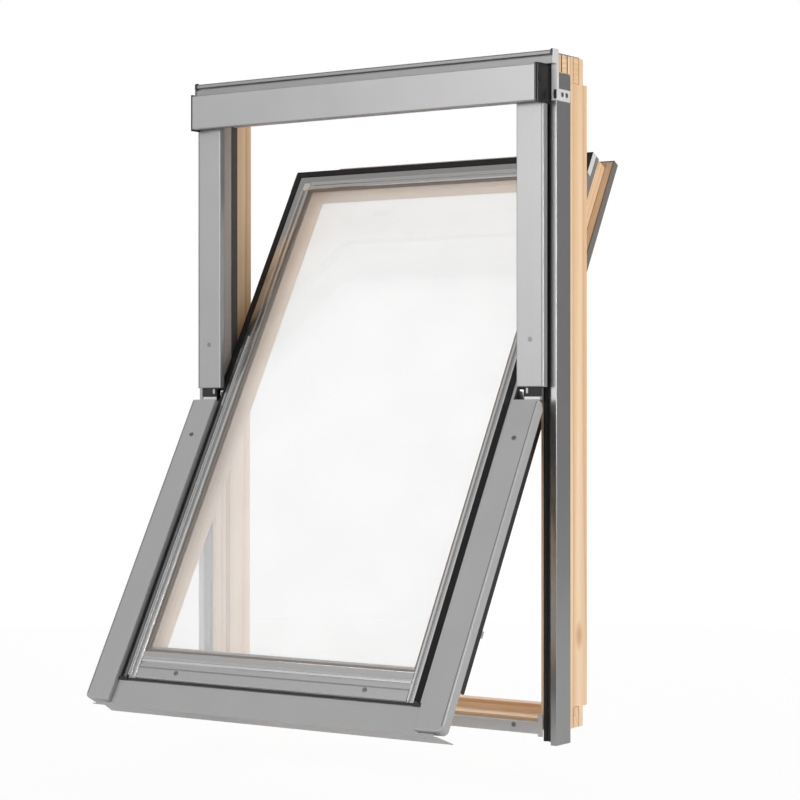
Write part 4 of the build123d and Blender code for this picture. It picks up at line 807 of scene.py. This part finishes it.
class ROOFWINDOW_OT_joints(bpy.types.Operator):
    """Show the dark glue lines of the frame's finger joints on both sides"""

    bl_idname = "roofwindow.joints"
    bl_label = "Glue Lines"

    def execute(self, context):
        glue = moulded_plastic("dark_glue_line", "8A6039", 0.6)
        for name, side in SIDES.items():
            lines = []
            for depth in GLUE_LINES:
                spans = [HEAD_JOINT, FOOT_JOINT]
                if depth < FLANGE_REAR:
                    spans = [(CLEAR_OF_FLANGE, HEAD_JOINT[1])]
                for foot, head in spans:
                    low = (STILE_FACE - GLUE_SUNK, depth - GLUE_HALF_WIDTH, foot)
                    high = (STILE_FACE + GLUE_PROUD, depth + GLUE_HALF_WIDTH, head)
                    lines.append(bar(*mirrored(side, low, high, GLUE_ROUNDING)))
            finished(lines, f"frame_glue_lines_{name}", glue, "frame")
        return {"FINISHED"}


# Trim of the right-hand side, each bar by two corners and its rounding in millimetres:
# round the hinge and on the corner strap in the room's axes, and on the lower cover in the sash's
FLAP = ((335.2, -72.6, 566.5), (369.0, -71.1, 585.0), 0.6)
HINGE_PIN = ((339.0, -73.2, 571.5), (343.0, -72.5, 580.5), 0.3)
HINGE_SILL = ((335.2, -72.9, 560.5), (366.0, -71.1, 565.5), 0.6)
STRAP_CLIP = ((384.8, -58.6, 1069.0), (389.8, -57.05, 1084.0), 0.5)
CLIP_TOOTH = ((384.8, -59.6, 1073.0), (388.0, -58.5, 1079.0), 0.4)
# The hem's coat is paler than the lower cover's: the fold is real, and its paler colour is a
# painted highlight
COVER_HEM = ((326.0, -45.9, 50.2), (371.5, -44.1, 54.6), 0.7)
# A dark strip along the lower cover's outer corner: painted shade of the corner
COVER_EDGE_SHADE = ((371.8, -636.0, 54.9), (372.9, -48.0, 55.1), 0.1)


class ROOFWINDOW_OT_hinge_flaps(bpy.types.Operator):
    """Add the hinges' flaps, pins and sills, the covers' hems with a painted highlight in their
    paler coat, a dark strip of painted shade along each cover's outer corner, and the strap clips
    """

    bl_idname = "roofwindow.hinge_flaps"
    bl_label = "Hinge Flaps"

    def execute(self, context):
        rubber_colour = context.scene.roof_window_finish.rubber_colour
        rubber = extruded_rubber("hinge_flap_rubber", rubber_colour)
        # A paler copy of the covers' coat, which on the hems is a painted highlight
        hem_metal = coated_sheet("folded_hem", "D2D2D2", 0.3, 0.4)
        edge_shade_paint = coated_sheet("painted_edge_shade", "555555", 0.5, 0.2)
        black = moulded_plastic("black_clip", "101011", 0.3)
        zinc = plated_steel("hinge_pin_zinc", "B4B4B2", 0.45)
        for name, side in SIDES.items():
            flap = bar(*mirrored(side, *FLAP))
            finished([flap], f"hinge_flap_{name}", rubber, "frame")
            pin = bar(*mirrored(side, *HINGE_PIN))
            finished([pin], f"hinge_pin_{name}", zinc, "frame")
            sill = bar(*mirrored(side, *HINGE_SILL))
            finished([sill], f"hinge_sill_{name}", hem_metal, "frame")
            hem = bar(*mirrored(side, *COVER_HEM), SASH_AXES)
            finished([hem], f"cover_hem_{name}", hem_metal, "sash")
            # Painted shade along the cover's outer corner
            edge_shade = bar(*mirrored(side, *COVER_EDGE_SHADE), SASH_AXES)
            finished([edge_shade], f"cover_edge_shade_{name}", edge_shade_paint, "sash")
            clip = [bar(*mirrored(side, *piece)) for piece in (STRAP_CLIP, CLIP_TOOTH)]
            finished(clip, f"strap_clip_{name}", black, "frame")
        return {"FINISHED"}


# Trim of the sash in its own axes: a dark strip under the bottom bead and its right-hand end,
# painted shadow of the gap between the bead and the bottom cover, and the plate on the sash's upper
# right corner
SILL_SHADOW_STRIP = ((-302.0, -602.6, 45.45), (302.0, -598.2, 46.5), 0.4)
SHADOW_STRIP_END = ((302.2, -604.0, 45.45), (321.7, -597.0, 47.6), 0.4)
CORNER_PLATE = ((329.95, 425.0, 32.0), (331.2, 469.0, 43.4), 0.4)

# Painted highlight: strips of a paler copy of the bead metal on the beads' ridges, up the right
# side, across the top and across the foot
SIDE_HIGHLIGHTS = (
    ((298.4, -594.0, 46.05), (302.0, 424.0, 46.6), 0.3),
    ((287.2, -594.0, 46.05), (291.0, 424.0, 46.6), 0.3),
)
TOP_HIGHLIGHTS = (
    ((-284.0, 434.1, 46.05), (284.0, 441.6, 46.8), 0.3),
    ((-284.0, 426.0, 46.05), (284.0, 433.2, 46.8), 0.3),
)
FOOT_HIGHLIGHT = ((-285.0, -564.7, 46.05), (285.0, -561.3, 46.7), 0.3)

# A thin wall on the right bead and a black strip of painted shade, given from the wall's top, that
# slopes from it to the cover's gap and darkens it
BEAD_WALL = ((302.1, -594.0, 42.3), (303.1, 96.0, 49.4), 0.3)
GAP_SHADE = ((0.0, -595.0, -1.0), (10.8, 96.0, 0.0), 0.4)
GAP_SHADE_TOP = (303.2, 49.2)
GAP_SHADE_SLOPE = math.radians(39)


class ROOFWINDOW_OT_sash_lips(bpy.types.Operator):
    """Add the sash's dark strips of painted shade, the walls on its beads, strips of painted
    highlight on the beads' ridges, and the plates on its corners
    """

    bl_idname = "roofwindow.sash_lips"
    bl_label = "Sash Lips"

    def execute(self, context):
        shadow_paint = extruded_rubber("painted_sill_shadow", "202021")
        gap_shade_paint = extruded_rubber("gap_lip_rubber", "0E0E0F")
        wall_coat = coated_sheet("bead_wall_coat", "D4D4D4", 0.35, 0.2)
        plate_metal = coated_sheet("corner_plate_white", "E4E4E2", 0.35, 0.1)
        # Painted shadow of the gap under the bottom bead
        finished([bar(*SILL_SHADOW_STRIP, SASH_AXES)], "sill_shadow_strip", shadow_paint, "sash")
        # Painted highlight on the beads' ridges
        highlight_metal = drawn_aluminium("painted_ridge_highlight", "EDEDEC", 0.2, (1, 20, 40))
        highlights = [bar(*ridge_strip, SASH_AXES) for ridge_strip in TOP_HIGHLIGHTS]
        finished(highlights, "bead_highlights_top", highlight_metal, "sash")
        finished([bar(*FOOT_HIGHLIGHT, SASH_AXES)], "bead_highlight_bottom", highlight_metal, "sash")
        for name, side in SIDES.items():
            highlights = [bar(*mirrored(side, *ridge_strip), SASH_AXES) for ridge_strip in SIDE_HIGHLIGHTS]
            finished(highlights, f"bead_highlights_{name}", highlight_metal, "sash")
            wall = bar(*mirrored(side, *BEAD_WALL), SASH_AXES)
            finished([wall], f"bead_wall_{name}", wall_coat, "sash")
            wall_top = Matrix.Translation((side * GAP_SHADE_TOP[0] * MM, 0, GAP_SHADE_TOP[1] * MM))
            slope = SASH_AXES @ wall_top @ Matrix.Rotation(side * GAP_SHADE_SLOPE, 4, "Y")
            # Painted shade in the gap beside the cover
            gap_shade = bar(*mirrored(side, *GAP_SHADE), slope)
            finished([gap_shade], f"gap_lip_{name}", gap_shade_paint, "sash")
            shadow_end = bar(*mirrored(side, *SHADOW_STRIP_END), SASH_AXES)
            finished([shadow_end], f"sill_shadow_end_{name}", shadow_paint, "sash")
            plate = bar(*mirrored(side, *CORNER_PLATE), SASH_AXES)
            finished([plate], f"sash_corner_plate_{name}", plate_metal, "sash")
        return {"FINISHED"}


# The floor, in metres: near the window a little of its own shade shows, and beyond it is white
FLOOR_SIDES = 96
FLOOR_RADIUS = 6.0
FLOOR_GLOW = 0.95
FLOOR_FADE = (0.6, 2.6)

# The sky: the way to the soft box, and the cosines from it between which its glow and it brighten
BOX_WAY = (-0.202, -0.958, 0.202)
GLOW_EDGE = (0.62, 0.82)
GLOW_GAIN = 2.3
BOX_EDGE = (0.9, 0.978)
BOX_LEVEL = 3.6

# Each lamp's name, place and width in metres, and power in watts
LAMPS = (
    ("key_lamp", (4.0, 0.35, 0.9), 1.0, 70),
    ("back_lamp", (-1.4, 2.4, 2.4), 2.0, 45),
)
LAMP_TARGET = (0, 0, 0.55)
SENSOR_WIDTH = 36.0


class ROOFWINDOW_OT_studio(bpy.types.Operator):
    """Set the floor, the soft light and the camera"""

    bl_idname = "roofwindow.studio"
    bl_label = "Studio"

    def execute(self, context):
        studio = context.scene.roof_window_studio
        self.floor(studio)
        self.sky(context, studio)
        self.lamps(context)
        self.camera(context, studio)
        context.scene.view_settings.view_transform = "Standard"
        return {"FINISHED"}

    def floor(self, studio):
        """A round floor under the window."""
        bpy.ops.object.select_all(action="DESELECT")
        bpy.ops.mesh.primitive_circle_add(
            vertices=FLOOR_SIDES,
            radius=FLOOR_RADIUS,
            fill_type="NGON",
            location=(0, 0, studio.floor_level),
        )
        floor = bpy.context.object
        floor.name = "studio_floor"
        floor.data.transform(Matrix.Translation(floor.location))
        floor.location = (0, 0, 0)
        floor.data.materials.append(self.floor_paint(studio.floor_colour))

    def seen(self, tree):
        """1 for what the eye sees straight or through a pane, and 0 for light and reflections."""
        path = node(tree, "ShaderNodeLightPath")
        return node(
            tree,
            "ShaderNodeMath",
            {0: path.outputs["Is Camera Ray"], 1: path.outputs["Is Transmission Ray"]},
            operation="MAXIMUM",
        ).outputs["Value"]

    def floor_paint(self, code):
        """White matt floor that fades into the white beyond it."""
        material, tree, shader, place = surface("studio_floor_paint", 0.9)
        shader.inputs["Base Color"].default_value = linear(code)
        reach = node(tree, "ShaderNodeVectorMath", {0: place}, operation="LENGTH")
        fade = node(
            tree,
            "ShaderNodeMapRange",
            {"Value": reach.outputs["Value"], "From Min": FLOOR_FADE[0], "From Max": FLOOR_FADE[1]},
        )
        share = node(
            tree,
            "ShaderNodeMath",
            {0: FLOOR_GLOW, 1: fade.outputs["Result"]},
            operation="MAXIMUM",
        )
        amount = node(
            tree,
            "ShaderNodeMath",
            {0: self.seen(tree), 1: share.outputs["Value"]},
            operation="MULTIPLY",
        )
        glow = node(tree, "ShaderNodeEmission", {"Color": WHITE, "Strength": 1.0})
        mixed = node(
            tree,
            "ShaderNodeMixShader",
            {0: amount.outputs["Value"], 1: shader.outputs["BSDF"], 2: glow.outputs["Emission"]},
        )
        output = tree.nodes["Material Output"]
        tree.links.new(mixed.outputs["Shader"], output.inputs["Surface"])
        return material

    def sky(self, context, studio):
        """Soft light all round, brighter in front, and plain white to the eye and through panes."""
        world = bpy.data.worlds.new("studio_sky")
        context.scene.world = world
        world.use_nodes = True
        tree = world.node_tree
        tree.nodes.clear()
        direction = node(tree, "ShaderNodeTexCoord").outputs["Generated"]
        front = node(
            tree, "ShaderNodeVectorMath", {0: direction, 1: BOX_WAY}, operation="DOT_PRODUCT"
        ).outputs["Value"]
        # A wide dim glow in front, and a small bright soft box in its middle
        glow = node(
            tree,
            "ShaderNodeMapRange",
            {
                "Value": front,
                "From Min": GLOW_EDGE[0],
                "From Max": GLOW_EDGE[1],
                "To Min": studio.world_level,
                "To Max": studio.world_level * GLOW_GAIN,
            },
        )
        box = node(
            tree,
            "ShaderNodeMapRange",
            {
                "Value": front,
                "From Min": BOX_EDGE[0],
                "From Max": BOX_EDGE[1],
                "To Min": 0.0,
                "To Max": BOX_LEVEL,
            },
        )
        level = node(
            tree,
            "ShaderNodeMath",
            {0: glow.outputs["Result"], 1: box.outputs["Result"]},
            operation="ADD",
        )
        soft = node(
            tree, "ShaderNodeBackground", {"Color": WHITE, "Strength": level.outputs["Value"]}
        )
        white = node(tree, "ShaderNodeBackground", {"Color": WHITE, "Strength": 1.0})
        mixed = node(
            tree,
            "ShaderNodeMixShader",
            {0: self.seen(tree), 1: soft.outputs["Background"], 2: white.outputs["Background"]},
        )
        output = node(tree, "ShaderNodeOutputWorld", {"Surface": mixed.outputs["Shader"]})
        output.is_active_output = True

    def lamps(self, context):
        """A soft lamp on the right and a wider one behind on the left, turned to the window."""
        for name, place, width, power in LAMPS:
            lamp = bpy.data.lights.new(name, "AREA")
            lamp.size = width
            lamp.energy = power
            holder = bpy.data.objects.new(name, lamp)
            holder.location = place
            toward = Vector(LAMP_TARGET) - Vector(place)
            holder.rotation_euler = toward.to_track_quat("-Z", "Y").to_euler()
            context.collection.objects.link(holder)

    def camera(self, context, studio):
        """The photograph's view."""
        lens = bpy.data.cameras.new("view")
        lens.lens = studio.lens
        lens.sensor_width = SENSOR_WIDTH
        holder = bpy.data.objects.new("view", lens)
        holder.location = studio.camera_place
        holder.rotation_euler = (math.pi / 2, 0, studio.camera_turn)
        context.collection.objects.link(holder)
        context.scene.camera = holder


OPERATORS = (
    ROOFWINDOW_OT_pine,
    ROOFWINDOW_OT_metal,
    ROOFWINDOW_OT_soft,
    ROOFWINDOW_OT_glass,
    ROOFWINDOW_OT_screws,
    ROOFWINDOW_OT_joints,
    ROOFWINDOW_OT_hinge_flaps,
    ROOFWINDOW_OT_sash_lips,
    ROOFWINDOW_OT_studio,
)

FINISH_SETTINGS = (
    "cover_colour",
    "lower_cover_colour",
    "cladding_colour",
    "sill_colour",
    "bead_colour",
    "stop_colour",
    "rubber_colour",
    "ring_width",
)
STUDIO_SETTINGS = (
    "camera_place",
    "camera_turn",
    "lens",
    "floor_colour",
    "floor_level",
    "world_level",
)


class ROOFWINDOW_PT_panel(bpy.types.Panel):
    """Lists the steps that dress the roof window"""

    bl_idname = "ROOFWINDOW_PT_panel"
    bl_label = "Roof Window"
    bl_space_type = "VIEW_3D"
    bl_region_type = "UI"
    bl_category = "Roof Window"

    def draw(self, context):
        layout = self.layout
        for operator in OPERATORS:
            layout.operator(operator.bl_idname)
        for name in FINISH_SETTINGS:
            layout.prop(context.scene.roof_window_finish, name)
        for name in STUDIO_SETTINGS:
            layout.prop(context.scene.roof_window_studio, name)


CLASSES = (RoofWindowFinish, RoofWindowStudio) + OPERATORS + (ROOFWINDOW_PT_panel,)


def register():
    """Register the classes and their settings."""
    for item in CLASSES:
        bpy.utils.register_class(item)
    bpy.types.Scene.roof_window_finish = bpy.props.PointerProperty(type=RoofWindowFinish)
    bpy.types.Scene.roof_window_studio = bpy.props.PointerProperty(type=RoofWindowStudio)


def unregister():
    """Remove the settings and the classes."""
    del bpy.types.Scene.roof_window_studio
    del bpy.types.Scene.roof_window_finish
    for item in reversed(CLASSES):
        bpy.utils.unregister_class(item)


def main():
    """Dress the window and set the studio."""
    register()
    bpy.ops.roofwindow.pine()
    bpy.ops.roofwindow.metal()
    bpy.ops.roofwindow.soft()
    bpy.ops.roofwindow.glass()
    bpy.ops.roofwindow.screws()
    bpy.ops.roofwindow.joints()
    bpy.ops.roofwindow.hinge_flaps()
    bpy.ops.roofwindow.sash_lips()
    bpy.ops.roofwindow.studio()


if __name__ == "__main__":
    main()
